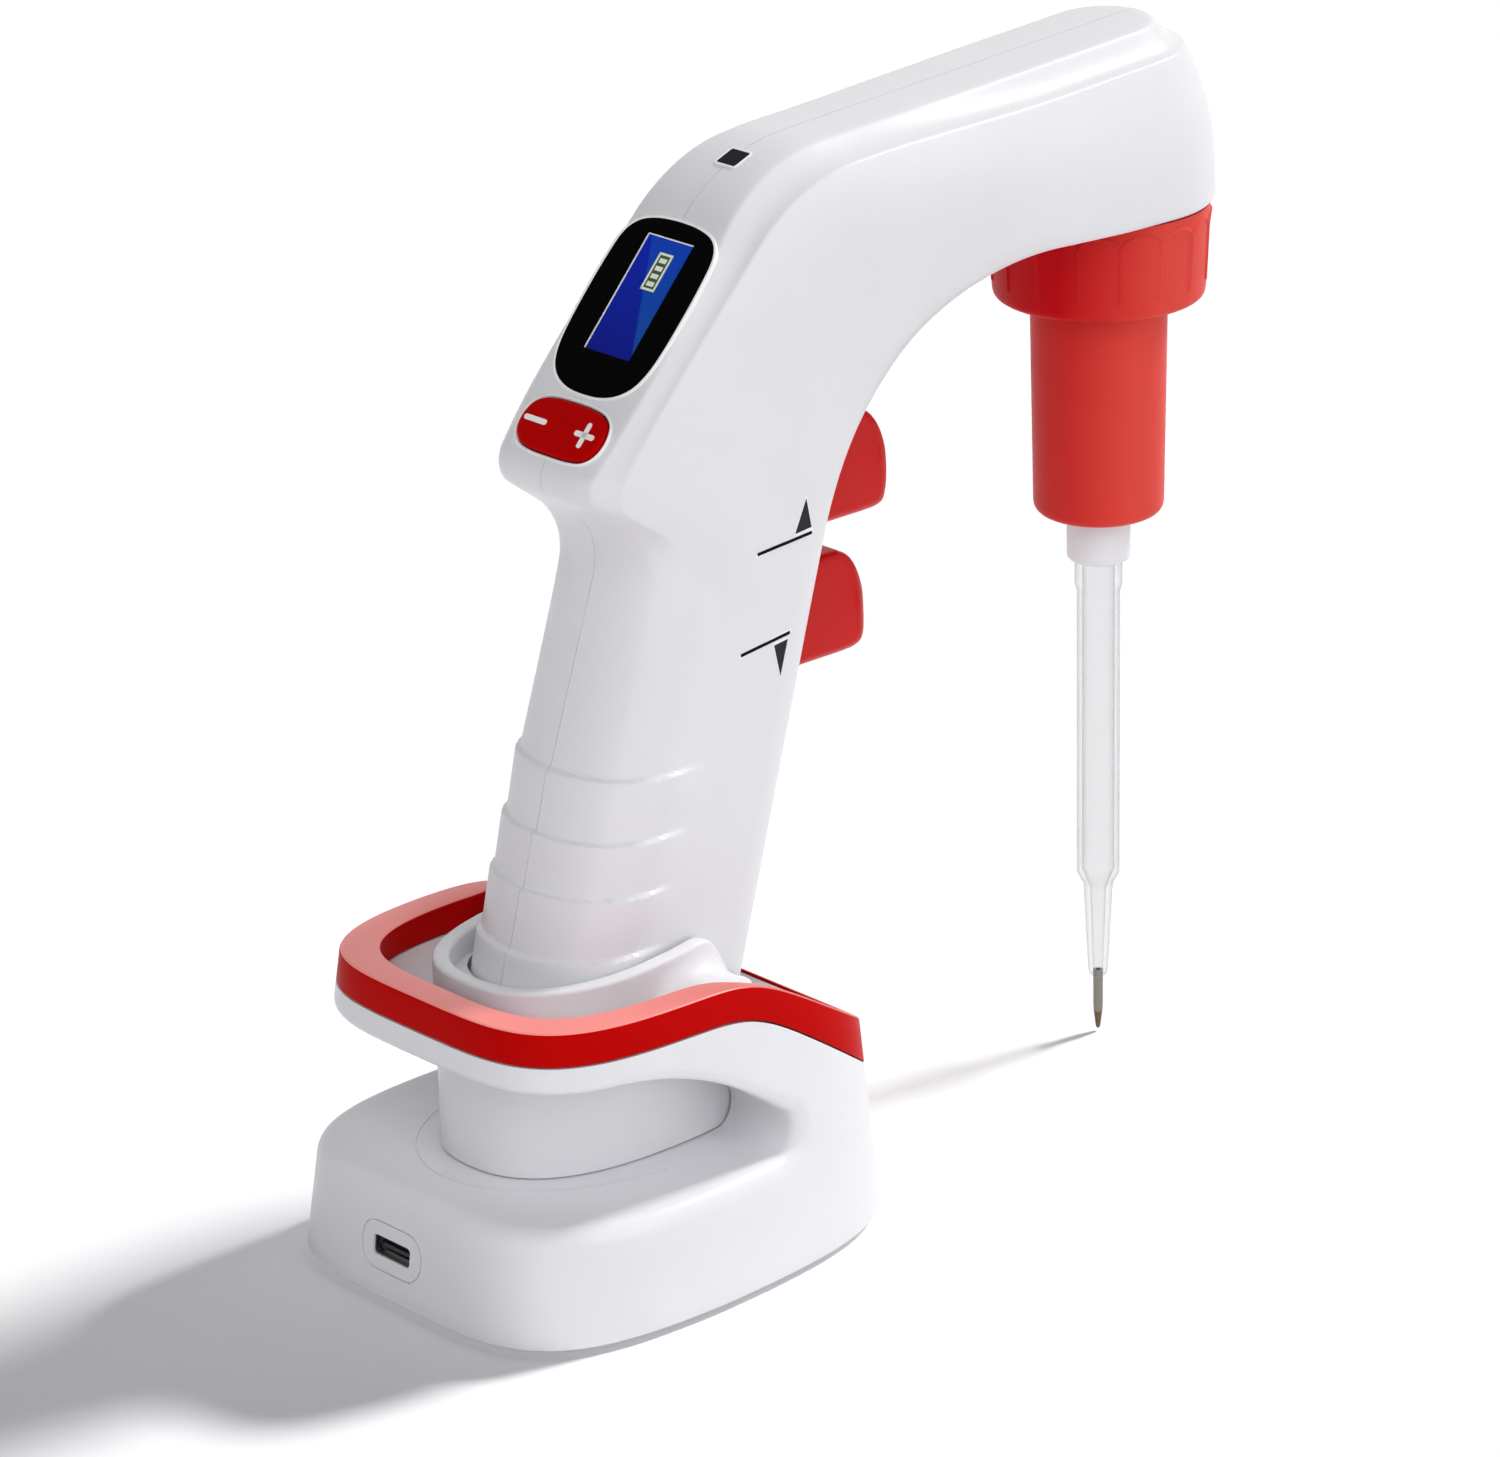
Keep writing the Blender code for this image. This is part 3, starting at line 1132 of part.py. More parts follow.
def make_trigger(name, height, proud):
    tall = TRIGGER_TALL / 2
    front = front_x(height) + proud
    rear = flange_rear(height)
    flange_front = rear + FLANGE_THICKNESS
    spring_seat = valve_front(height)
    origin = (rear, 0, height)
    shape = bmesh.new()
    shape.from_mesh(block_mesh((flange_front - FLANGE_THICKNESS / 2, -TRIGGER_HALF_WIDTH,
                                height - tall),
                               (front, TRIGGER_HALF_WIDTH, height + tall)))
    rounded = [edge for edge in shape.edges
               if all(vert.co.x > front - 1e-6 for vert in edge.verts)]
    bmesh.ops.bevel(shape, geom=rounded, offset=TRIGGER_CORNER, segments=4, profile=0.5,
                    affect="EDGES", clamp_overlap=True)
    trigger = keep(name + "_trigger", mesh_of(shape), RED, origin=origin)
    cut(trigger, cutter(name + "_flange_joiner", block_mesh(
        (rear, -TRIGGER_HALF_WIDTH - FLANGE_LIP, height - tall - FLANGE_LIP),
        (flange_front, TRIGGER_HALF_WIDTH + FLANGE_LIP, height + tall + FLANGE_LIP))), "UNION")
    valve = keep(name + "_valve", block_mesh(
        (spring_seat - VALVE_DEPTH, -VALVE_HALF_WIDTH, height - tall),
        (spring_seat, VALVE_HALF_WIDTH, height + tall)), GREY)
    bore_end = spring_seat - VALVE_DEPTH + 1.5 * mm
    cut(valve, cutter(name + "_valve_bore_cutter", rod_mesh(
        (bore_end, 0, height), (spring_seat + 5 * mm, 0, height), STEM_RADIUS + SEAT_GAP, 16)))
    keep(name + "_valve_stem", rod_mesh(
        (bore_end + TRIGGER_TRAVEL + 0.6 * mm, 0, height), (rear - SEAT_GAP, 0, height),
        STEM_RADIUS, 16), STEEL, origin=origin)
    spring = bpy.data.curves.new(name + "_spring", "CURVE")
    spring.dimensions = "3D"
    spring.bevel_depth = SPRING_WIRE
    spring.bevel_resolution = 2
    spring.use_fill_caps = True
    line = spring.splines.new("POLY")
    per_turn = 9
    count = SPRING_TURNS * per_turn
    line.points.add(count)
    start = spring_seat - rear + SEAT_GAP + SPRING_WIRE
    length = SPRING_LENGTH - 2 * SPRING_WIRE
    for index in range(count + 1):
        angle = 2 * math.pi * index / per_turn
        line.points[index].co = (start + length * index / count,
                                 SPRING_RADIUS * math.cos(angle),
                                 SPRING_RADIUS * math.sin(angle), 1.0)
    made = bpy.data.objects.new(name + "_spring", spring)
    made.location = origin
    spring.materials.append(material(name + "_spring", *STEEL))
    PARTS.objects.link(made)


# Nosepiece
def make_collar():
    """The coupling nut: a tapered ring with raised ribs and a lip inside."""
    top = BARREL_FLOOR - SEAT_GAP
    bottom = top - COLLAR_HEIGHT
    lip_top = bottom + COLLAR_LIP
    per_rib = 5
    count = COLLAR_RIB_COUNT * per_rib
    taper = (COLLAR_TOP_RADIUS - COLLAR_BOTTOM_RADIUS) / COLLAR_HEIGHT
    edge = 1.2 * mm
    inner = SPIGOT_RADIUS + SLIDE_GAP
    lip = CONE_TOP_RADIUS + SLIDE_GAP
    rows = ((COLLAR_TOP_RADIUS, top, 0.0), (COLLAR_TOP_RADIUS - taper * 4 * mm, top - 4 * mm, 0.0),
            (COLLAR_TOP_RADIUS - taper * 6 * mm, top - 6 * mm, 1.0),
            (COLLAR_BOTTOM_RADIUS, bottom + edge, 1.0),
            (COLLAR_BOTTOM_RADIUS - edge, bottom, 0.0),
            (lip, bottom, 0.0), (lip, lip_top, 0.0), (inner, lip_top, 0.0), (inner, top, 0.0))
    shape = bmesh.new()
    grid = []
    for radius, height, relief in rows:
        ring = []
        for index in range(count):
            angle = 2 * math.pi * index / count
            raised = 1.0 if index % per_rib in (0, 1) else 0.0
            reach = radius - COLLAR_RIB_RELIEF * relief * (1 - raised)
            ring.append(shape.verts.new((NOZZLE_X + reach * math.cos(angle),
                                         reach * math.sin(angle), height)))
        grid.append(ring)
    for ring, following in zip(grid, grid[1:] + grid[:1]):
        for index in range(count):
            follow = (index + 1) % count
            shape.faces.new((ring[index], ring[follow], following[follow], following[index]))
    return keep("nose_collar", mesh_of(shape), CORAL, origin=(NOZZLE_X, 0, 0))


def make_nosepiece():
    make_collar()
    floor = BARREL_FLOOR + WALL + SEAT_GAP
    spigot_end = BARREL_FLOOR - SPIGOT_DROP
    turned("spigot", [
        (SPIGOT_BORE + 2 * mm, floor + SPIGOT_FLANGE + 3 * mm),
        (SPIGOT_BORE + 2 * mm, floor + SPIGOT_FLANGE),
        (SPIGOT_FLANGE_RADIUS, floor + SPIGOT_FLANGE), (SPIGOT_FLANGE_RADIUS, floor),
        (SPIGOT_RADIUS, floor), (SPIGOT_RADIUS, spigot_end), (SPIGOT_BORE, spigot_end),
        (SPIGOT_BORE, floor + SPIGOT_FLANGE), (HOSE_RADIUS, floor + SPIGOT_FLANGE),
        (HOSE_RADIUS, floor + SPIGOT_FLANGE + 3 * mm)], GREY)
    seal_top = spigot_end - SEAT_GAP
    seal_low = seal_top - SEAL_THICKNESS
    turned("nose_seal", [
        (SPIGOT_RADIUS - 1 * mm, seal_top), (SPIGOT_RADIUS - 1 * mm, seal_low),
        (CONE_BORE + 1 * mm, seal_low), (CONE_BORE + 1 * mm, seal_top)], RUBBER)
    lip_top = BARREL_FLOOR - SEAT_GAP - COLLAR_HEIGHT + COLLAR_LIP
    flange_low = lip_top + SEAT_GAP
    flange_top = seal_low - SEAT_GAP
    mouth = HOLDER_NECK_RADIUS + SEAT_GAP
    turned("nose_cone", [
        (SPIGOT_RADIUS, flange_top), (SPIGOT_RADIUS, flange_low),
        (CONE_TOP_RADIUS, flange_low), (CONE_BOTTOM_RADIUS, CONE_END + 2 * mm),
        (CONE_BOTTOM_RADIUS - 0.6 * mm, CONE_END + 0.6 * mm),
        (CONE_BOTTOM_RADIUS - 2 * mm, CONE_END), (mouth, CONE_END),
        (mouth, CONE_END + CONE_MOUTH), (CONE_BORE, CONE_END + CONE_MOUTH),
        (CONE_BORE, flange_top)], CORAL)
    shoulder = CONE_END + CONE_MOUTH + SEAT_GAP
    bore = TUBE_RADIUS + SEAT_GAP
    turned("pipette_holder", [
        (CONE_BORE - SEAT_GAP, HOLDER_TOP), (CONE_BORE - SEAT_GAP, shoulder),
        (HOLDER_NECK_RADIUS, shoulder), (HOLDER_NECK_RADIUS, HOLDER_NECK_END),
        (bore, HOLDER_NECK_END), (bore, TUBE_MOUTH + SEAT_GAP),
        (FILTER_PORT_RADIUS, TUBE_MOUTH + SEAT_GAP), (FILTER_PORT_RADIUS, HOLDER_TOP)],
        SILICONE)
    filter_low = HOLDER_TOP + SEAT_GAP
    disc_low = filter_low + FILTER_PORT
    disc_top = disc_low + FILTER_THICKNESS
    rim = CONE_BORE - SEAT_GAP
    turned("air_filter", [
        (FILTER_PORT_RADIUS, disc_top + FILTER_PORT), (FILTER_PORT_RADIUS, disc_top),
        (rim, disc_top), (rim, disc_low), (FILTER_PORT_RADIUS, disc_low),
        (FILTER_PORT_RADIUS, filter_low), (1.2 * mm, filter_low),
        (1.2 * mm, disc_top + FILTER_PORT)], SILICONE)


def make_pipette():
    neck_top = HOLDER_NECK_END - SEAT_GAP
    neck_low = neck_top - TUBE_NECK
    bore = TUBE_RADIUS - TUBE_WALL
    tip_bore = TIP_RADIUS + SEAT_GAP
    tip_seat = TAPER_END + 5 * mm
    turned("pipette_tube", [
        (TUBE_RADIUS, TUBE_MOUTH), (TUBE_RADIUS, neck_top), (TUBE_NECK_RADIUS, neck_top),
        (TUBE_NECK_RADIUS, neck_low), (TUBE_RADIUS, neck_low - 0.5 * mm),
        (TUBE_RADIUS, TUBE_SHOULDER + 1.5 * mm), (TAPER_TOP_RADIUS, TUBE_SHOULDER - 0.5 * mm),
        (TAPER_END_RADIUS, TAPER_END), (tip_bore, TAPER_END), (tip_bore, tip_seat),
        (tip_bore, TUBE_SHOULDER - 1 * mm), (bore, TUBE_SHOULDER + 1.5 * mm),
        (bore, TUBE_MOUTH)], CLEAR, steps=28)
    turned("pipette_tip", [
        (TIP_RADIUS, tip_seat), (TIP_RADIUS, TIP_HEIGHT + 6 * mm),
        (TIP_POINT_RADIUS + 0.3 * mm, TIP_HEIGHT), (TIP_POINT_RADIUS, TIP_HEIGHT),
        (TIP_BORE, tip_seat)], STEEL, steps=20)


# Pump, hoses, battery and boards
def hose(name, points):
    curve = bpy.data.curves.new(name, "CURVE")
    curve.dimensions = "3D"
    curve.bevel_depth = HOSE_RADIUS
    curve.bevel_resolution = 2
    curve.use_fill_caps = True
    line = curve.splines.new("POLY")
    smooth = smooth_route(points, 5)
    line.points.add(len(smooth) - 1)
    for place, point in zip(line.points, smooth):
        place.co = (*point, 1.0)
    made = bpy.data.objects.new(name, curve)
    curve.materials.append(material(name, *SILICONE))
    PARTS.objects.link(made)


def smooth_route(points, steps):
    """A Catmull-Rom curve through a route's points."""
    route = [Vector(point) for point in points]
    padded = [route[0] * 2 - route[1]] + route + [route[-1] * 2 - route[-2]]
    smooth = []
    for index in range(1, len(padded) - 2):
        before, start, end, after = padded[index - 1:index + 3]
        for step in range(steps):
            t = step / steps
            smooth.append(0.5 * ((2 * start) + (end - before) * t
                                 + (2 * before - 5 * start + 4 * end - after) * t ** 2
                                 + (3 * start - before - 3 * end + after) * t ** 3))
    smooth.append(route[-1])
    return smooth


def make_air_system():
    floor = BARREL_FLOOR + WALL + SEAT_GAP
    front = NOZZLE_X - PUMP_SET_BACK
    rear = front - PUMP_LENGTH
    keep("pump_head", block_mesh((rear, -PUMP_HALF_WIDTH, floor),
                                 (front, PUMP_HALF_WIDTH, floor + PUMP_HEIGHT), None,
                                 1.5 * mm), GREY)
    axis_height = floor + PUMP_HEIGHT / 2
    keep("pump_motor", rod_mesh((rear - SEAT_GAP - MOTOR_LENGTH, 0, axis_height),
                                (rear - SEAT_GAP, 0, axis_height), MOTOR_RADIUS, 28), STEEL)
    spigot_top = floor + SPIGOT_FLANGE + HOSE_PORT
    hose("nose_hose", [(front + SEAT_GAP, 0, axis_height),
                       (front + HOSE_BEND / 2, 0, axis_height + HOSE_BEND / 16),
                       (NOZZLE_X - HOSE_BEND * 1.5, 0, axis_height + HOSE_BEND / 2),
                       (NOZZLE_X - HOSE_BEND / 4, 0, axis_height + HOSE_BEND * 0.3),
                       (NOZZLE_X, 0, spigot_top + HOSE_BEND / 4),
                       (NOZZLE_X, 0, spigot_top + SEAT_GAP)])
    port_y = -PUMP_HALF_WIDTH + HOSE_RADIUS + SEAT_GAP
    port_z = floor + HOSE_RADIUS + 1 * mm
    valve_x = valve_front(UPPER_TRIGGER_HEIGHT) - VALVE_DEPTH / 2
    valve_y = -VALVE_HALF_WIDTH / 2
    valve_top = UPPER_TRIGGER_HEIGHT + TRIGGER_TALL / 2
    hose("valve_hose", [(rear - SEAT_GAP, port_y, port_z),
                        (rear - HOSE_BEND, port_y, port_z),
                        (rear - HOSE_BEND * 2, port_y, port_z - HOSE_BEND / 8),
                        (valve_x + HOSE_BEND * 3, (port_y + valve_y) / 2,
                         valve_top + HOSE_BEND * 2.1),
                        (valve_x + HOSE_BEND, valve_y, valve_top + HOSE_BEND * 1.7),
                        (valve_x, valve_y, valve_top + HOSE_BEND),
                        (valve_x, valve_y, valve_top + 2 * SEAT_GAP)])


def make_battery():
    end = GRIP_LENGTH - 4 * mm
    start = end - CELL_LENGTH
    cradle = keep("battery_cradle", block_mesh(
        (0, -CRADLE_HALF_WIDTH, -CRADLE_DEPTH / 2),
        (CELL_LENGTH + 1 * mm, CRADLE_HALF_WIDTH, CRADLE_DEPTH / 2),
        grip_frame(start, CELL_DEPTH), 1.5 * mm), GREY)
    cut(cradle, cutter("cell_bore_cutter", rod_mesh(
        grip_point(start - 5 * mm, CELL_DEPTH), grip_point(end + 6 * mm, CELL_DEPTH),
        CELL_RADIUS + SEAT_GAP, 28)))
    keep("battery_cell", rod_mesh(grip_point(start, CELL_DEPTH), grip_point(end, CELL_DEPTH),
                                  CELL_RADIUS, 28), CELL_BLUE)
    board_depth = CELL_DEPTH + CRADLE_DEPTH / 2 + SEAT_GAP + BOARD_THICKNESS / 2
    keep("main_board", block_mesh(
        (-MAIN_BOARD_LENGTH, -MAIN_BOARD_HALF_WIDTH, -BOARD_THICKNESS / 2),
        (0, MAIN_BOARD_HALF_WIDTH, BOARD_THICKNESS / 2), grip_frame(end, board_depth)), GREEN)
    cap_top = GRIP_LENGTH + SEAT_GAP
    keep("end_cap", loft_mesh([grip_ring(cap_top, -0.4 * mm),
                               grip_ring(cap_top + CAP_THICKNESS, -0.4 * mm)]), WHITE)
    pad_top = cap_top + CAP_THICKNESS + SEAT_GAP / 2
    for name, side in SIDES:
        keep("charge_pad_" + name, rod_mesh(
            grip_point(pad_top, CELL_DEPTH, side * CONTACT_SPREAD),
            grip_point(pad_top + CONTACT_THICKNESS * 0.4, CELL_DEPTH, side * CONTACT_SPREAD),
            CONTACT_RADIUS, 20), BRASS)


make_base_shell()
make_ring_trim()
make_socket_cup()
make_stand_inside()
make_housings()
make_display()
make_trigger("aspirate", UPPER_TRIGGER_HEIGHT, UPPER_TRIGGER_PROUD)
make_trigger("dispense", LOWER_TRIGGER_HEIGHT, LOWER_TRIGGER_PROUD)
make_nosepiece()
make_pipette()
make_air_system()
make_battery()
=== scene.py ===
"""Looks of a cordless pipette controller that rests in its charging stand."""
import json
import math

import bmesh
import bpy
import numpy as np
from mathutils import Matrix, Vector
from mathutils.bvhtree import BVHTree


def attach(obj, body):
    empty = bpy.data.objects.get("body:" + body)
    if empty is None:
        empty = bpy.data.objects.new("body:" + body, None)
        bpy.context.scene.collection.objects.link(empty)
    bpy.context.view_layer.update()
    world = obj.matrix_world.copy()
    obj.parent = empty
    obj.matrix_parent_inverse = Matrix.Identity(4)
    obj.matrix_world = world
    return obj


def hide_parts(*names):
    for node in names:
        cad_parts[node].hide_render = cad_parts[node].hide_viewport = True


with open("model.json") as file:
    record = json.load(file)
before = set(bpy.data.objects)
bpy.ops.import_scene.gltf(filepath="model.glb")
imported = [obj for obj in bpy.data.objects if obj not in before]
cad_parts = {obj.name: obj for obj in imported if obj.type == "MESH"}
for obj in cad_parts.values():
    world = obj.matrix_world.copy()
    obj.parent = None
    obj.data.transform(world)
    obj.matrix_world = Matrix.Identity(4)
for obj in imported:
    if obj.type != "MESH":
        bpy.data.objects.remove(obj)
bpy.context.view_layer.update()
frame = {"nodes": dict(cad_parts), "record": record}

# Lengths are in millimetres, and MM turns them into metres
MM = 0.001

# Handset, side view
NOZZLE_X = 123.7
CREST_HEIGHT = 196.35
BARREL_FLOOR = 163.5
BROW = (32.7, 190.8)           # where the crest bends down to the display
BROW_RADIUS = 34.0
TAIL = (-11.7, 141.5)          # the display slope's foot
TAIL_RADIUS = 4.5
NECK = (4.0, 129.7)            # where the grip's rear line starts
NECK_RADIUS = 11.0
GRIP_FRONT_X = 55.1
GRIP_FRONT_TILT = math.radians(15.3)
GRIP_REAR_TILT = math.radians(18.6)
CROOK_RADIUS = 54.0            # under the barrel, where the grip leaves it
GRIP_LENGTH = 92.6
WALL = 2.2
SEAM = 0.06                    # from the middle plane to each half
GRIP_REAR_CORNER = 13.5
EDGE_DROP = 0.55               # from the crest to where the cove starts
CROWN_DROP = 0.385             # how far the crown falls to its edge

# place, band, reach, cove depth, half width, fullness, front corner, grip share
SECTION_KEYS = np.array((
    (0.00, 9.7, 15.2, 4.8, 20.9, 2.6, 1.0, 0.0),
    (0.45, 9.7, 15.2, 4.8, 20.9, 2.7, 1.5, 0.0),
    (1.00, 9.7, 15.2, 4.8, 20.0, 3.2, 3.0, 0.0),
    (1.20, 9.3, 15.2, 4.0, 19.2, 4.2, 5.0, 0.0),
    (1.35, 8.8, 15.3, 3.4, 18.5, 5.2, 6.5, 0.0),
    (1.50, 9.4, 15.6, 4.0, 18.0, 7.0, 8.0, 0.0),
    (1.60, 10.6, 15.8, 4.0, 17.8, 8.0, 8.0, 0.0),
    (1.75, 13.0, 16.0, 3.0, 17.4, 9.0, 8.0, 0.0),
    (1.90, 13.0, 16.0, 2.8, 17.4, 9.0, 8.0, 0.0),
    (2.00, 11.4, 15.4, 2.6, 17.2, 9.0, 8.0, 0.2),
    (2.06, 11.0, 14.8, 2.4, 17.1, 9.0, 8.0, 0.5),
    (2.14, 11.0, 14.6, 2.4, 17.0, 8.0, 8.0, 0.9),
    (2.24, 11.0, 14.6, 2.4, 16.9, 8.0, 8.0, 1.0),
    (3.00, 10.6, 14.0, 2.4, 16.3, 8.0, 8.0, 1.0),
))
RIB_HEIGHTS = (89.9, 79.1, 69.7, 59.2)
RIBS_START = 92
RIB_PITCH = 10.4
RIB_RISE = 0.8
RIB_LEDGE = 0.6                # height over which a rib steps out
RIB_REACH = (13.0, 22.0)       # where it fades, forward of the rear line


# Shader wiring
class Wire:
    """One value among the nodes, with plain arithmetic."""

    def __init__(self, wiring, socket):
        self.wiring = wiring
        self.socket = socket

    def math(self, operation, other, other_first=False):
        values = [other, self] if other_first else [self, other]
        return self.wiring.node("ShaderNodeMath", {"operation": operation}, values)

    def __add__(self, other):
        return self.math("ADD", other)

    def __sub__(self, other):
        return self.math("SUBTRACT", other)

    def __rsub__(self, other):
        return self.math("SUBTRACT", other, True)

    def __mul__(self, other):
        return self.math("MULTIPLY", other)

    __radd__ = __add__
    __rmul__ = __mul__


class Wiring:
    """The nodes of a finish or of the room."""

    def __init__(self, tree):
        self.tree = tree

    def fill(self, target, value):
        """Give a socket a link, a colour or a number."""
        if isinstance(value, Wire):
            self.tree.links.new(value.socket, target)
        elif target.type == "RGBA" and len(value) == 3:
            target.default_value = (*value, 1.0)
        else:
            target.default_value = value

    def node(self, kind, settings=None, values=(), output=0):
        """A node with its settings, then its sockets' values or links."""
        made = self.tree.nodes.new(kind)
        for name, value in (settings or {}).items():
            setattr(made, name, value)
        pairs = values.items() if isinstance(values, dict) else enumerate(values)
        for socket, value in pairs:
            self.fill(made.inputs[socket], value)
        return Wire(self, made.outputs[output])


class Finish(Wiring):
    """A named material and its nodes."""

    def __init__(self, name, **surface):
        self.material = bpy.data.materials.new(name)
        self.material.use_nodes = True
        super().__init__(self.material.node_tree)
        self.shader = self.tree.nodes["Principled BSDF"]
        for socket, value in surface.items():
            self.set(socket.replace("_", " ").title().replace("Ior", "IOR"), value)

    def set(self, socket, value):
        self.fill(self.shader.inputs[socket], value)

    def place(self):
        return self.node("ShaderNodeTexCoord", output="Object")

    def axes(self):
        split = self.node("ShaderNodeSeparateXYZ", values=[self.place()])
        return [Wire(self, socket) for socket in split.socket.node.outputs]

    def noise(self, size, detail=2.0, roughness=0.5):
        """Soft noise whose patches are about as wide as size, from 0 to 1."""
        return self.node("ShaderNodeTexNoise", {"noise_dimensions": "3D"}, {
            "Vector": self.place(), "Scale": 1 / (size * MM), "Detail": detail,
            "Roughness": roughness})

    def mix(self, share, first, second):
        """From the first colour to the second, by a share from 0 to 1."""
        return self.node("ShaderNodeMix", {"data_type": "RGBA"},
                         {0: share, 6: first, 7: second}, output=2)

    def ramp(self, value, start, end):
        """A share that rises from 0 to 1 while a value goes from start to end."""
        return self.node("ShaderNodeMapRange", values=[value, start, end, 0.0, 1.0])

    def bump(self, height, depth):
        self.set("Normal", self.node("ShaderNodeBump", values={
            "Height": height, "Distance": depth * MM, "Strength": 1.0}))


def tinted(colour, factor):
    return tuple(min(1.0, channel * factor) for channel in colour)


GRAIN = 0.35                   # size of the moulds' spark grain
CLOUD = 18.0                   # size of the soft patches in a moulding's colour
SMEAR = 4.0                    # size of the patches in its gloss


def moulded(name, colour, roughness, grain=GRAIN, depth=0.004, spread=0.06, **surface):
    """Moulded plastic: fine spark grain, slight unevenness in colour and gloss."""
    finish = Finish(name, **surface)
    cloud = finish.noise(CLOUD, 3.0)
    finish.set("Base Color", finish.mix(cloud, tinted(colour, 0.97), tinted(colour, 1.03)))
    finish.set("Roughness", finish.noise(SMEAR, 4.0) * spread + (roughness - spread / 2))
    finish.bump(finish.noise(grain, 3.0, 0.6), depth)
    return finish.material


WHITE = moulded("white_shell", (0.745, 0.742, 0.765), 0.34, specular_ior_level=0.2)
RED = moulded("red_trim", (0.48, 0.0015, 0.0012), 0.36, depth=0.006, specular_ior_level=0.02)
TRIGGER_RED = moulded("trigger_red", (0.56, 0.005, 0.003), 0.3, grain=0.5, depth=0.04,
                      specular_ior_level=0.22)
ROCKER_RED = moulded("rocker_red", (0.48, 0.0005, 0.0005), 0.3, specular_ior_level=0.02)
# Pale white: real print on marks, and painted highlight on the rims and the screen's edge strips
PRINT_AND_HIGHLIGHT_WHITE = moulded("print_and_highlight_white", (0.88, 0.88, 0.86), 0.35)
PRINT_GREY = moulded("print_grey", (0.022, 0.023, 0.030), 0.6, specular_ior_level=0.1)
PRINT_BLACK = moulded("print_black", (0.004, 0.004, 0.006), 0.6, specular_ior_level=0.05)
BLACK_GLASS = moulded("black_glass", (0.0008, 0.0008, 0.001), 0.09, depth=0.0, spread=0.02,
                      specular_ior_level=0.01)
LENS_BLACK = moulded("lens_black", (0.004, 0.0035, 0.008), 0.16, depth=0.0, spread=0.04,
                     specular_ior_level=0.04)
SILICONE = moulded("white_silicone", (0.74, 0.745, 0.77), 0.42, depth=0.002,
                   subsurface_weight=0.25, subsurface_scale=0.004)
RUBBER = moulded("dark_rubber", (0.03, 0.028, 0.028), 0.75, depth=0.01)
GREY = moulded("grey_plastic", (0.30, 0.30, 0.32), 0.5)
BLACK_PLASTIC = moulded("black_plastic", (0.010, 0.010, 0.012), 0.4)
BOARD = moulded("green_board", (0.02, 0.14, 0.06), 0.4)
CELL = moulded("cell_sleeve", (0.05, 0.18, 0.42), 0.35)


def red_with_painted_shading(name, span, rear, front, roughness, depth, gloss):
    """A moulded red with painted light and shade, from a rear tone to a front tone along a span
    of x.
    """
    finish = Finish(name, specular_ior_level=gloss)
    share = finish.ramp(finish.axes()[0], span[0] * MM, span[1] * MM)
    finish.set("Base Color", finish.mix(share, rear, front))
    finish.set("Roughness", finish.noise(SMEAR, 4.0) * 0.06 + roughness)
    finish.bump(finish.noise(GRAIN, 3.0, 0.6), depth)
    return finish.material


# Painted sheen: the trim's upper face is painted paler at the rear, and deeper where it dips
RED_TOP_PAINTED_SHEEN = red_with_painted_shading("red_trim_top_painted_sheen", (-22, 14), (0.95, 0.26, 0.235),
                         (0.60, 0.090, 0.062), 0.34, 0.006, 0.5)
# Painted light and shade: the nose is deep red at the rear, where shade is painted, and coral to
# the front, where light is painted
CORAL_PAINTED_SHADING = red_with_painted_shading("coral_nose", (NOZZLE_X - 18, NOZZLE_X - 3), (0.50, 0.002, 0.005),
                     (0.69, 0.060, 0.045), 0.39, 0.005, 0.07)


def metal(name, colour, roughness):
    """Drawn or turned metal with fine lines round it."""
    finish = Finish(name, metallic=1.0)
    lines = finish.noise(0.6, 2.0)
    finish.set("Base Color", finish.mix(lines, tinted(colour, 0.9), tinted(colour, 1.08)))
    finish.set("Roughness", finish.noise(1.2, 3.0) * 0.12 + roughness)
    finish.bump(finish.noise(0.12, 2.0), 0.002)
    return finish.material


STEEL = metal("steel", (0.55, 0.54, 0.52), 0.25)
TIP_STEEL = metal("tip_steel", (0.24, 0.235, 0.20), 0.3)
TIP_BRONZE = metal("tip_bronze", (0.17, 0.115, 0.07), 0.35)
GOLD = metal("gold_contact", (0.78, 0.56, 0.24), 0.22)


def make_clear_tube():
    """Thin clear wall: faint from the front, and denser where it is seen edge on."""
    finish = Finish("clear_tube")
    cloud = finish.noise(9.0, 2.0)
    edge_on = finish.node("ShaderNodeLayerWeight", values=[0.5], output=1)
    finish.set("Base Color", finish.mix(cloud, (0.30, 0.31, 0.33), (0.35, 0.357, 0.375)))
    finish.set("Roughness", cloud * 0.03 + 0.07)
    finish.set("Alpha", edge_on * edge_on * edge_on * 0.75 + 0.085)
    return finish.material


CLEAR = make_clear_tube()


# Building blocks
SHARP_FROM = math.radians(34)  # edges that bend more than this stay crisp


def linked(name, mesh):
    """A new piece with its mesh, or a lamp or camera, in the scene."""
    made = bpy.data.objects.new(name, mesh)
    bpy.context.scene.collection.objects.link(made)
    return made


def smooth(mesh):
    mesh.shade_smooth()
    mesh.set_sharp_from_angle(angle=SHARP_FROM)


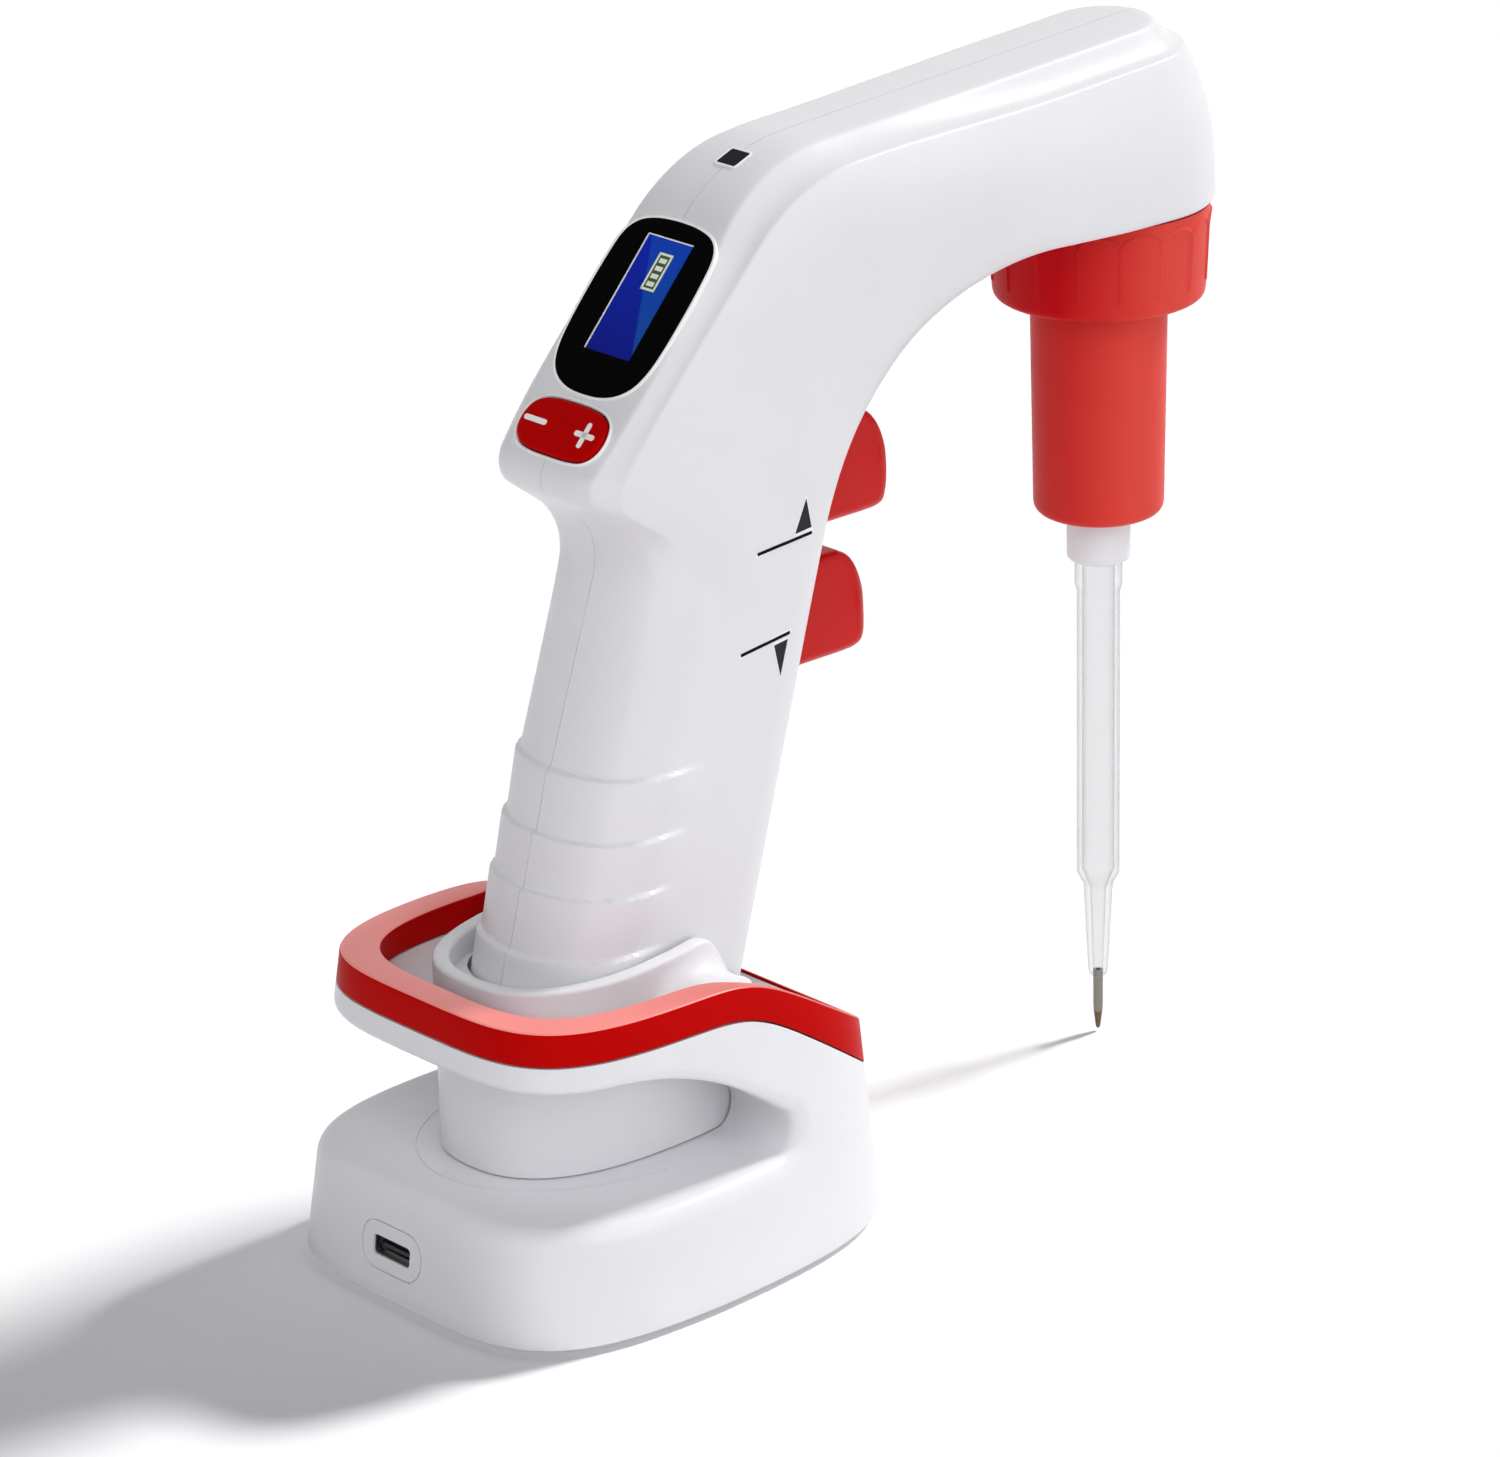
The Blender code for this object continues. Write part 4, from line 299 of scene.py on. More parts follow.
def mesh_from(shape):
    """A mesh in metres from a shape in millimetres, faces outward."""
    bmesh.ops.remove_doubles(shape, verts=shape.verts, dist=1e-4)
    bmesh.ops.dissolve_degenerate(shape, dist=1e-4, edges=shape.edges)
    bmesh.ops.recalc_face_normals(shape, faces=shape.faces)
    bmesh.ops.scale(shape, vec=(MM, MM, MM), verts=shape.verts)
    mesh = bpy.data.meshes.new("mesh")
    shape.to_mesh(mesh)
    shape.free()
    smooth(mesh)
    return mesh


def show(piece, finish, body, slot, *nodes):
    """Give a piece its finish, and say what it moves with and stands for."""
    piece.data.materials.clear()
    piece.data.materials.append(finish)
    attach(piece, body)
    if nodes:
        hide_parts(*nodes)


def add_grid(shape, rows, wrap=False):
    """Quads between rows of equally many points; returns the rows of vertices."""
    grid = [[shape.verts.new(point) for point in row] for row in rows]
    add_strips(shape, grid, wrap)
    return grid


def add_strips(shape, grid, wrap=False):
    """Quads, or triangles where corners meet, between rows of vertices."""
    count = len(grid[0])
    for row, following in zip(grid, grid[1:]):
        for index in range(count if wrap else count - 1):
            follow = (index + 1) % count
            corners = [row[index], row[follow], following[follow], following[index]]
            unique = [vert for place, vert in enumerate(corners) if vert not in corners[:place]]
            if len(unique) > 2:
                shape.faces.new(unique)


def add_closed_skins(shape, outer, inner):
    """Two like grids of points, joined all round their edges."""
    borders = []
    for rows in (outer, inner):
        grid = add_grid(shape, rows)
        border = [row[0] for row in grid] + grid[-1][1:]
        border += [row[-1] for row in reversed(grid[:-1])] + list(reversed(grid[0][1:-1]))
        borders.append(border + border[:1])
    add_strips(shape, borders)


def loft(rings):
    """A closed solid through rings of points."""
    shape = bmesh.new()
    grid = add_grid(shape, rings, wrap=True)
    shape.faces.new(grid[0])
    shape.faces.new(grid[-1])
    return mesh_from(shape)


def hoop(sections):
    """A closed loop of closed sections, such as a bezel or a turned piece."""
    shape = bmesh.new()
    grid = [[shape.verts.new(point) for point in ring] for ring in sections]
    grid.append(grid[0])
    add_strips(shape, grid, wrap=True)
    return mesh_from(shape)


def prism(outline, low, high, matrix):
    """A flat outline given thickness along its frame's third axis."""
    shape = bmesh.new()
    floor = shape.faces.new([shape.verts.new((x, y, low)) for x, y in outline])
    raised = bmesh.ops.extrude_face_region(shape, geom=[floor])["geom"]
    roof = [item for item in raised if isinstance(item, bmesh.types.BMVert)]
    bmesh.ops.translate(shape, vec=(0, 0, high - low), verts=roof)
    bmesh.ops.transform(shape, matrix=matrix, verts=shape.verts)
    return mesh_from(shape)


def carve(piece, cutters):
    """Cut a piece with closed meshes, and keep the plain result."""
    tools = [linked("tool", mesh) for mesh in cutters]
    for tool in tools:
        modifier = piece.modifiers.new("cut", "BOOLEAN")
        modifier.operation = "DIFFERENCE"
        modifier.object = tool
        modifier.solver = "EXACT"
    seen = piece.evaluated_get(bpy.context.evaluated_depsgraph_get())
    mesh = bpy.data.meshes.new_from_object(seen)
    piece.modifiers.clear()
    piece.data = mesh
    smooth(mesh)
    for tool in tools:
        bpy.data.objects.remove(tool)


def frame_matrix(origin, x_axis, y_axis):
    """A frame from its origin and the directions of its first two axes."""
    x_axis = Vector(x_axis).normalized()
    y_axis = Vector(y_axis).normalized()
    axes = Matrix((x_axis, y_axis, x_axis.cross(y_axis))).transposed().to_4x4()
    return Matrix.Translation(Vector(origin)) @ axes


def unit(vector):
    return vector / np.linalg.norm(vector)


def eased(share):
    """The share from 0 to 1, with soft ends."""
    return share * share * (3 - 2 * share)


def within_one(value):
    return min(1.0, max(0.0, value))


def bell(offsets):
    """Smoothing weights at offsets given in widths of the bell."""
    weights = np.exp(-0.5 * offsets ** 2)
    return weights / weights.sum()


def step_lengths(points):
    return np.linalg.norm(np.diff(points, axis=0), axis=1)


def travelled(steps):
    """The way covered up to each point, from the steps between them."""
    return np.concatenate([[0.0], np.cumsum(steps)])


def both_columns(rule, points):
    """One rule applied to each of a path's two columns."""
    return np.stack([rule(points[:, axis]) for axis in (0, 1)], 1)


def curve_point(before, start, end, after, t):
    """A point of the smooth curve through four points, between the middle two."""
    return 0.5 * (2 * start + (end - before) * t
                  + (2 * before - 5 * start + 4 * end - after) * t ** 2
                  + (3 * start - before - 3 * end + after) * t ** 3)


def filleted(corners, steps=5):
    """A closed outline whose corners carry fillets: (x, y, radius) each."""
    outline = []
    count = len(corners)
    for index, (x, y, radius) in enumerate(corners):
        corner = np.array((x, y))
        if radius <= 0:
            outline.append(corner)
            continue
        before = unit(np.array(corners[index - 1][:2]) - corner)
        after = unit(np.array(corners[(index + 1) % count][:2]) - corner)
        half = math.acos(max(-1.0, min(1.0, float(before @ after)))) / 2
        reach = radius / math.tan(half)
        middle = unit(before + after)
        centre = corner + middle * radius / math.sin(half)
        start = corner + before * reach - centre
        end = corner + after * reach - centre
        sweep = math.acos(max(-1.0, min(1.0, float(start @ end) / radius ** 2)))
        for step in range(steps + 1):
            share = step / steps
            spoke = (start * math.sin((1 - share) * sweep)
                     + end * math.sin(share * sweep)) / math.sin(sweep)
            outline.append(centre + spoke)
    return outline


def turned(profile, steps=96):
    """A solid turned about the nozzle from a closed profile of (radius, height, fillet)."""
    outline = filleted(profile)
    sections = []
    for index in range(steps):
        angle = 2 * math.pi * index / steps
        sections.append([(NOZZLE_X + radius * math.cos(angle), radius * math.sin(angle), height)
                         for radius, height in outline])
    return hoop(sections)


def closed_curve(points):
    """A smooth closed outline through its points."""
    count = len(points)
    points = [np.array(point, float) for point in points]
    outline = []
    for index in range(count):
        before, start = points[index - 1], points[index]
        end, after = points[(index + 1) % count], points[(index + 2) % count]
        outline += [curve_point(before, start, end, after, step / 8) for step in range(8)]
    return outline


def mirrored(half):
    """A closed outline from its right half, which runs from top to bottom."""
    return closed_curve(list(half) + [(x, -y) for x, y in reversed(half[1:-1])])


def grown(outline, margin):
    """An outline moved outward by a margin."""
    points = np.array(outline)
    tangent = np.roll(points, -1, 0) - np.roll(points, 1, 0)
    tangent /= np.linalg.norm(tangent, axis=1)[:, None]
    normal = np.stack([tangent[:, 1], -tangent[:, 0]], 1)
    if np.sum(normal * (points - points.mean(0))) < 0:
        normal = -normal
    return points + normal * margin


# Side view of the handset
def rounded_path(corners):
    """An open line whose corners carry bends: (x, height, radius) each."""
    path = [np.array(corners[0][:2], float)]
    for before, corner, after in zip(corners, corners[1:], corners[2:]):
        point = np.array(corner[:2], float)
        arriving = unit(point - np.array(before[:2]))
        leaving = unit(np.array(after[:2]) - point)
        turn = math.atan2(arriving[0] * leaving[1] - arriving[1] * leaving[0],
                          float(arriving @ leaving))
        start = point - arriving * corner[2] * math.tan(abs(turn) / 2)
        side = np.array((-arriving[1], arriving[0])) * (1 if turn > 0 else -1)
        centre = start + side * corner[2]
        spoke = start - centre
        count = max(2, round(abs(turn) / math.radians(1.5)))
        for index in range(count + 1):
            angle = turn * index / count
            path.append(centre + np.array((
                spoke[0] * math.cos(angle) - spoke[1] * math.sin(angle),
                spoke[0] * math.sin(angle) + spoke[1] * math.cos(angle))))
    path.append(np.array(corners[-1][:2], float))
    return np.array(path)


def crossing(path, origin, direction):
    """Where a ray first meets a path."""
    start = path[:-1]
    run = path[1:] - start
    area = direction[0] * run[:, 1] - direction[1] * run[:, 0]
    area = np.where(abs(area) < 1e-12, 1e-12, area)
    offset = start - origin
    along = (offset[:, 0] * run[:, 1] - offset[:, 1] * run[:, 0]) / area
    share = (offset[:, 0] * direction[1] - offset[:, 1] * direction[0]) / area
    good = (along > 0) & (share >= -1e-9) & (share <= 1 + 1e-9)
    return origin + direction * along[good].min()


GRIP_DOWN = np.array((-math.sin(GRIP_FRONT_TILT), -math.cos(GRIP_FRONT_TILT)))
GRIP_BACK = np.array((-math.cos(GRIP_FRONT_TILT), math.sin(GRIP_FRONT_TILT)))
CROOK_TURN = math.pi / 2 - GRIP_FRONT_TILT
CROOK_REACH = CROOK_RADIUS * math.tan(CROOK_TURN / 2)
CROOK_CENTRE = np.array((GRIP_FRONT_X + CROOK_REACH, BARREL_FLOOR - CROOK_RADIUS))
GRIP_TOP = np.array((GRIP_FRONT_X, BARREL_FLOOR)) + GRIP_DOWN * CROOK_REACH
REAR_RUN = GRIP_LENGTH * 1.6
CREST_PATH = rounded_path((
    (2 * NOZZLE_X - BROW[0], 2 * CREST_HEIGHT - BROW[1], 0.0),
    (*BROW, BROW_RADIUS), (*TAIL, TAIL_RADIUS), (*NECK, NECK_RADIUS),
    (NECK[0] - REAR_RUN * math.sin(GRIP_REAR_TILT),
     NECK[1] - REAR_RUN * math.cos(GRIP_REAR_TILT), 0.0)))
CREST_SLOPE = (CREST_HEIGHT - BROW[1]) / (NOZZLE_X - BROW[0])
SLOPE_DOWN = unit(np.array((TAIL[0] - BROW[0], TAIL[1] - BROW[1])))
UPWARD = np.array((0.0, 1.0))


def slope_frame(distance):
    """First axis down the display slope, second to the right, third outward."""
    place = np.array(BROW) + SLOPE_DOWN * distance
    return frame_matrix((place[0], 0, place[1]), (SLOPE_DOWN[0], 0, SLOPE_DOWN[1]), (0, -1, 0))


def grip_point(distance, depth, side=0.0):
    """A point in the grip: down its front line, then back from it."""
    place = GRIP_TOP + GRIP_DOWN * distance + GRIP_BACK * depth
    return Vector((place[0], side, place[1]))


def front_x(height):
    """The grip's front line."""
    return GRIP_FRONT_X - (BARREL_FLOOR - height) * math.tan(GRIP_FRONT_TILT)


def chord(place):
    """The floor and crest points of one cross section."""
    if place < 1:
        floor = np.array((NOZZLE_X + (CROOK_CENTRE[0] - NOZZLE_X) * place, BARREL_FLOOR))
        return floor, crossing(CREST_PATH, floor, UPWARD)
    if place < 2:
        angle = math.pi / 2 + CROOK_TURN * (place - 1)
        spoke = np.array((math.cos(angle), math.sin(angle)))
        floor = CROOK_CENTRE + spoke * CROOK_RADIUS
        return floor, crossing(CREST_PATH, floor, spoke)
    floor = GRIP_TOP + GRIP_DOWN * GRIP_LENGTH * (place - 2)
    return floor, crossing(CREST_PATH, floor, GRIP_BACK)


def station_places(count):
    """Places along the handset that crowd where the crest bends and at the ribs."""
    fine = np.concatenate([np.linspace(0, 1, 40, endpoint=False),
                           np.linspace(1, 2, 200, endpoint=False), np.linspace(2, 3, 300)])
    crests = np.array([chord(place)[1] for place in fine])
    step = np.diff(crests, axis=0)
    heading = np.unwrap(np.arctan2(step[:, 1], step[:, 0]))
    bend = np.abs(np.diff(heading, append=heading[-1]))
    travel = travelled(step_lengths(crests) + 24 * bend)
    picked = np.interp(np.linspace(0, travel[-1], count), travel, fine)
    ribs = np.linspace(2.40, 2.97, 120)
    return np.unique(np.round(np.concatenate([picked, ribs]), 5))


def eased_values(places):
    """The section's measures at each place, with their changes rounded off."""
    fine = np.linspace(0, 3, 1201)
    reach = 60
    weights = bell(np.arange(-reach, reach + 1) / 17.0)
    columns = []
    for column in range(1, SECTION_KEYS.shape[1]):
        values = np.interp(fine, SECTION_KEYS[:, 0], SECTION_KEYS[:, column])
        padded = np.concatenate([np.full(reach, values[0]), values,
                                 np.full(reach, values[-1])])
        columns.append(np.interp(places, fine, np.convolve(padded, weights, "valid")))
    return np.stack(columns, 1)


SPANS = (12, 14, 26, 9, 4)      # columns over crown, cove, side, corner and floor


def half_section(values, depth, inset, softness):
    """Half a cross section from crest to floor, as (half width, depth)."""
    band, reach, cove, half, fullness, corner, grip = values
    half = half - inset
    reach = reach - inset * 0.7
    band = band - inset * 0.3
    corner = max(corner - inset, 0.4)
    rear = GRIP_REAR_CORNER - inset
    steps = 40
    s = np.linspace(0, 1, steps, endpoint=False)
    crown = np.stack([band * s ** 0.5, CROWN_DROP * s ** 2], 1)
    dip = np.stack([band + (reach - band) * s,
                    EDGE_DROP + (cove - EDGE_DROP) * np.sin(math.pi / 2 * s)], 1)
    share = s ** 1.6
    side = np.stack([half - (half - reach) * (1 - share) ** fullness,
                     cove + (depth - corner - cove) * share], 1)
    turn = np.concatenate([s ** 2 / 2, 0.5 + s / 2])
    bend = turn ** 1.15 * math.pi / 2
    back = np.stack([(half - rear) * np.minimum(1, turn * 2) + rear * np.sin(bend),
                     rear * (1 - np.cos(bend))], 1)
    flank = np.stack([np.full(steps, half), rear + (depth - corner - rear) * s], 1)
    upper = np.concatenate([crown, dip, side])
    upper += (np.concatenate([back, flank]) - upper) * grip
    angle = math.pi / 2 * s
    turn_in = np.stack([half - corner + corner * np.cos(angle),
                        depth - corner + corner * np.sin(angle)], 1)
    floor = np.stack([(half - corner) * (1 - np.linspace(0, 1, 20)), np.full(20, depth)], 1)
    line = np.concatenate([upper, turn_in, floor])
    marks = [0, steps, 2 * steps, 3 * steps, 4 * steps, len(line) - 1]
    return resampled(line, marks, softness)


def resampled(line, marks, softness):
    """The line with its bends softened, and fixed counts of points between its marks."""
    travel = travelled(step_lengths(line))
    pitch = 0.12
    even = np.arange(0, travel[-1] + pitch, pitch)
    points = both_columns(lambda column: np.interp(even, travel, column), line)
    if softness > 0:
        reach = int(4 * softness / pitch)
        weights = bell(np.arange(-reach, reach + 1) * pitch / softness)
        flip = np.array((-1, 1))
        padded = np.concatenate([points[reach:0:-1] * flip, points,
                                 points[-2:-reach - 2:-1] * flip])
        points = both_columns(lambda column: np.convolve(column, weights, "valid"), padded)
    picks = []
    for number, count in enumerate(SPANS):
        start, end = travel[marks[number]], travel[marks[number + 1]]
        share = np.arange(count) / count
        if number < 3:
            share = 0.5 - 0.5 * np.cos(math.pi * share)
        if number == 0:
            share = np.sin(math.pi / 2 * np.arange(count) / count)
        picks.append(start + (end - start) * share)
    picks = np.concatenate(picks + [[travel[-1]]])
    even = even[:len(points)]
    result = both_columns(lambda column: np.interp(picks, even, column), points)
    result[[0, -1], 0] = 0.0
    return result


def rib_lift(x, height, rear_line):
    """How far the ribbed rear of the grip stands out from its plain line."""
    lift = 0.0
    below = [rib for rib in RIB_HEIGHTS if height < rib + RIB_LEDGE / 2]
    if below:
        rib = below[-1]
        step = eased(within_one((rib + RIB_LEDGE / 2 - height) / RIB_LEDGE))
        slide = within_one((rib - height) / RIB_PITCH)
        lift = RIB_RISE * step * (1 - slide)
    fade = within_one((x - rear_line - RIB_REACH[0]) / (RIB_REACH[1] - RIB_REACH[0]))
    return lift * (1 - eased(fade))


NOSE_FAN = 26                  # sections that sweep round the rounded nose
PLACES = station_places(170)
VALUES = eased_values(PLACES)


def skin_rows(side, inset):
    """Rows of points over one half of the handset, outer or inner skin."""
    chords = [chord(place) for place in PLACES]
    rows = []
    spokes = [math.pi / 2 * (1 - index / NOSE_FAN) for index in range(NOSE_FAN)]
    stations = [(0, angle) for angle in spokes] + [(n, 0.0) for n in range(len(PLACES))]
    softness = 0.45 if inset == 0 else 0.0
    for number, angle in stations:
        floor, crest = chords[number]
        inward = unit(floor - crest)
        lean = 1.0
        if 0 < number < len(PLACES) - 1:
            along = unit(chords[number + 1][1] - chords[number - 1][1])
            lean = max(0.45, abs(inward[0] * along[1] - inward[1] * along[0]))
        top = inset / lean
        depth = float(np.linalg.norm(floor - crest)) - top - inset
        line = half_section(VALUES[number], depth, inset, softness)
        slope = np.gradient(line, axis=0)
        slope /= np.linalg.norm(slope, axis=1)[:, None]
        row = []
        for (width, down), (turn_w, turn_d) in zip(line, slope):
            spot = crest + inward * (top + down)
            ahead = width * math.sin(angle)
            out = width * math.cos(angle)
            if inset == 0 and PLACES[number] > 2.3 and spot[1] < RIBS_START:
                lift = rib_lift(spot[0], spot[1], rear_x(spot[1]))
                spot = spot - inward * lift * turn_w
                out += lift * turn_d
            rise = CREST_SLOPE * ahead * (1 - down / depth)
            row.append((spot[0] + ahead, side * max(out, SEAM), spot[1] + rise))
        rows.append(row)
    return rows


def rear_x(height):
    """The grip's plain rear line."""
    return NECK[0] - (NECK[1] - height) * math.tan(GRIP_REAR_TILT)


# Display, rocker and indicator outlines, as (down the slope, to the right)
WINDOW_CENTRE = 31.4
WINDOW = mirrored(((-17.3, 0.0), (-16.9, 5.5), (-15.5, 9.4), (-12.5, 11.5), (-7.0, 12.1),
                   (0.0, 12.2), (5.8, 12.0), (10.0, 11.4), (13.2, 10.0), (15.4, 7.5),
                   (16.6, 4.1), (16.9, 0.0)))
ROCKER_CENTRE = 55.2
ROCKER = mirrored(((-4.95, 0.0), (-4.85, 4.0), (-4.3, 7.3), (-2.7, 9.5), (0.0, 10.3),
                   (2.6, 9.7), (4.3, 7.7), (4.9, 4.5), (5.0, 0.0)))
SCREEN_CENTRE = -2.55          # from the window's middle
SCREEN_LENGTH = 22.9
SCREEN_WIDTH = 11.6
INDICATOR_X = 35.5
INDICATOR = filleted(((-2.15, -2.4, 0.5), (2.15, -2.4, 0.5), (2.15, 2.4, 0.5),
                      (-2.15, 2.4, 0.5)))


def indicator_frame():
    spot = crossing(CREST_PATH, np.array((INDICATOR_X, BARREL_FLOOR)), UPWARD)
    ahead = crossing(CREST_PATH, np.array((INDICATOR_X + 1, BARREL_FLOOR)), UPWARD)
    along = spot - ahead
    return frame_matrix((spot[0], 0, spot[1]), (along[0], 0, along[1]), (0, -1, 0))


def rectangle(low_x, high_x, low_y, high_y, radius=0.0):
    return filleted(((low_x, low_y, radius), (high_x, low_y, radius),
                     (high_x, high_y, radius), (low_x, high_y, radius)))


# The middle height of each trigger's opening, and the button's side view
TRIGGERS = {
    "aspirate": (130.4, ((58.3, 139.6), (61.2, 139.0), (63.2, 136.9), (64.4, 133.0),
                         (64.8, 127.6), (64.3, 123.2), (62.8, 121.5), (57.9, 121.1))),
    "dispense": (105.3, ((51.9, 114.6), (54.9, 114.3), (57.2, 112.5), (58.5, 108.4),
                         (58.9, 102.8), (58.7, 98.6), (57.2, 96.8), (52.3, 96.3))),
}
TRIGGER_HALF_WIDTH = 7.6
TRIGGER_TALL = 18.0
TRIGGER_CORNER = 2.6
TRIGGER_ROOT = 6.0             # the straight run inside the housing
SLIDE_GAP = 0.45
SEAT_GAP = 0.3
SPIGOT_RADIUS = 13.9
SCREW_WELLS = ((109.5, 186.5), (46.0, 170.0), (13.0, 122.0), (21.6, 65.0))
WELL_RADIUS = 2.6


def make_housings():
    """Both halves of the handset's shell, with their openings cut."""
    seat = slope_frame(WINDOW_CENTRE)
    side_frame = frame_matrix((0, 0, 0), (1, 0, 0), (0, 0, 1))
    for name, side in (("right", -1), ("left", 1)):
        shape = bmesh.new()
        add_closed_skins(shape, skin_rows(side, 0.0), skin_rows(side, WALL))
        half = linked("housing_skin_" + name, mesh_from(shape))
        cutters = [
            prism(grown(WINDOW, 0.12), -1.6, 8.0, seat),
            prism(rectangle(-13.0, 11.0, -7.0, 7.0), -8.0, 8.0, seat),
            prism(grown(ROCKER, SLIDE_GAP * 0.6), -3.4, 8.0, slope_frame(ROCKER_CENTRE)),
            prism(grown(INDICATOR, 0.1), -4.0, 4.0, indicator_frame()),
            turned(((0.01, BARREL_FLOOR - 4, 0), (0.01, BARREL_FLOOR + 4.2, 0),
                    (SPIGOT_RADIUS + SEAT_GAP, BARREL_FLOOR + 4.2, 0),
                    (SPIGOT_RADIUS + SEAT_GAP, BARREL_FLOOR - 4, 0))),
        ]
        tall = TRIGGER_TALL / 2 + SLIDE_GAP
        wide = TRIGGER_HALF_WIDTH + SLIDE_GAP
        for height, _ in TRIGGERS.values():
            cutters.append(prism(
                rectangle(-wide, wide, height - tall, height + tall, 2.0),
                front_x(height) - 9, front_x(height) + 15,
                frame_matrix((0, 0, 0), (0, 1, 0), (0, 0, 1))))
        if name == "left":
            ring = filleted([(u * WELL_RADIUS, v * WELL_RADIUS, 2.59)
                             for u, v in ((-1, -1), (1, -1), (1, 1), (-1, 1))], 8)
            for x, z in SCREW_WELLS:
                cutters.append(prism([(x + u, z + v) for u, v in ring], -26.0, -11.7,
                                     side_frame))
        carve(half, cutters)
        show(half, WHITE, "handset", "white_shell", "housing_" + name)
        if name == "right":
            make_side_marks(half)


LINE_WIDTH = 0.6               # of the printed lines
HALO = 0.3                     # pale margin round a printed mark


def make_side_marks(housing):
    """Arrowheads and lines printed beside the triggers, dark with a pale outline."""
    skin = BVHTree.FromObject(housing, bpy.context.evaluated_depsgraph_get())
    for name, apex, rear, front in (("up", (35.2, 132.1), (32.6, 126.2), (36.4, 126.6)),
                                    ("down", (28.9, 101.1), (27.5, 107.1), (30.7, 107.5))):
        print_patch("mark_" + name, skin, (apex, apex, front, rear), PRINT_GREY)
    half = np.array((0.0, LINE_WIDTH / 2))
    for name, rear, front in (("upper", (23.9, 124.6), (36.5, 125.6)),
                              ("lower", (19.8, 107.2), (31.2, 108.6))):
        print_patch("line_" + name, skin, (rear - half, front - half, front + half, rear + half),
                    PRINT_BLACK)


def print_patch(name, skin, corners, ink):
    """A printed patch and its pale outline, as thin closed skins on the housing."""
    corners = [np.array(corner, float) for corner in corners]
    middle = sum(corners) / 4
    wide = []
    for index, corner in enumerate(corners):
        away = corner - middle
        if name.startswith("line"):
            wide.append(corner + np.sign(away) * HALO)
            continue
        near = min(np.linalg.norm(corner - corners[index - 1]),
                   np.linalg.norm(corner - corners[(index + 1) % 4]))
        wide.append(corner + unit(away) * (HALO * (2.2 if near < 0.1 else 1.3)))
    for suffix, outline, lift, finish in (("_halo", wide, 0.03, PRINT_AND_HIGHLIGHT_WHITE),
                                          ("", corners, 0.06, ink)):
        first, second, third, fourth = outline
        layers = ([], [])
        for down in np.linspace(0, 1, 15):
            start, end = first + (fourth - first) * down, second + (third - second) * down
            spots = []
            for along in np.linspace(0, 1, 31):
                x, z = start + (end - start) * along
                place, normal = skin.ray_cast(Vector((x, -60.0, z)) * MM, Vector((0, 1, 0)))[:2]
                spots.append((place / MM, normal))
            layers[0].append([place + normal * lift for place, normal in spots])
            layers[1].append([place - normal * 0.1 for place, normal in spots])
        shape = bmesh.new()
        add_closed_skins(shape, *layers)
        patch = linked("side_" + name + suffix, mesh_from(shape))
        show(patch, finish, "handset", "white_shell")


def add_rim(name, outline, matrix, width, rise):
    """A slim rounded rim along an outline, sunk a little into its seat, coloured paler than the
    shell as a painted highlight.
    """
    sink = 0.8
    outer = grown(outline, width / 2)
    inner = grown(outline, -width / 2)
    sections = []
    for (ox, oy), (ix, iy) in zip(outer, inner):
        section = [(ox, oy, -sink)]
        for step in range(7):
            angle = math.pi * step / 6
            share = 0.5 - 0.5 * math.cos(angle)
            section.append((ox + (ix - ox) * share, oy + (iy - oy) * share,
                            rise * math.sin(angle)))
        section.append((ix, iy, -sink))
        sections.append([matrix @ Vector(point) for point in section])
    show(linked(name, hoop(sections)), PRINT_AND_HIGHLIGHT_WHITE, "handset", "white_shell")


def make_screen_finish():
    """Backlit blue, with a lighter wedge painted in as the room's reflection in the glass."""
    finish = Finish("blue_screen", roughness=0.15, specular_ior_level=0.04)
    x, y, z = finish.axes()
    seat = slope_frame(WINDOW_CENTRE + SCREEN_CENTRE)
    origin = seat @ Vector((0, 0, 0)) * MM
    down = (x - origin.x) * (SLOPE_DOWN[0] / (SCREEN_LENGTH * MM)) + (z - origin.z) * (
        SLOPE_DOWN[1] / (SCREEN_LENGTH * MM))
    across = y * (-1 / (SCREEN_WIDTH * MM))
    # A lighter wedge across the screen: a painted reflection
    reflection_wedge = finish.ramp(across + (down * -0.95 - 0.045), -0.01, 0.03)
    shade = finish.ramp(down, -0.5, 0.5)
    deep = finish.mix(shade, (0.0006, 0.009, 0.22), (0.0004, 0.004, 0.12))
    pale = finish.mix(shade, (0.001, 0.024, 0.24), (0.002, 0.036, 0.17))
    colour = finish.mix(reflection_wedge, deep, pale)
    finish.set("Base Color", colour)
    finish.set("Emission Color", colour)
    finish.set("Emission Strength", 0.8)
    return finish.material


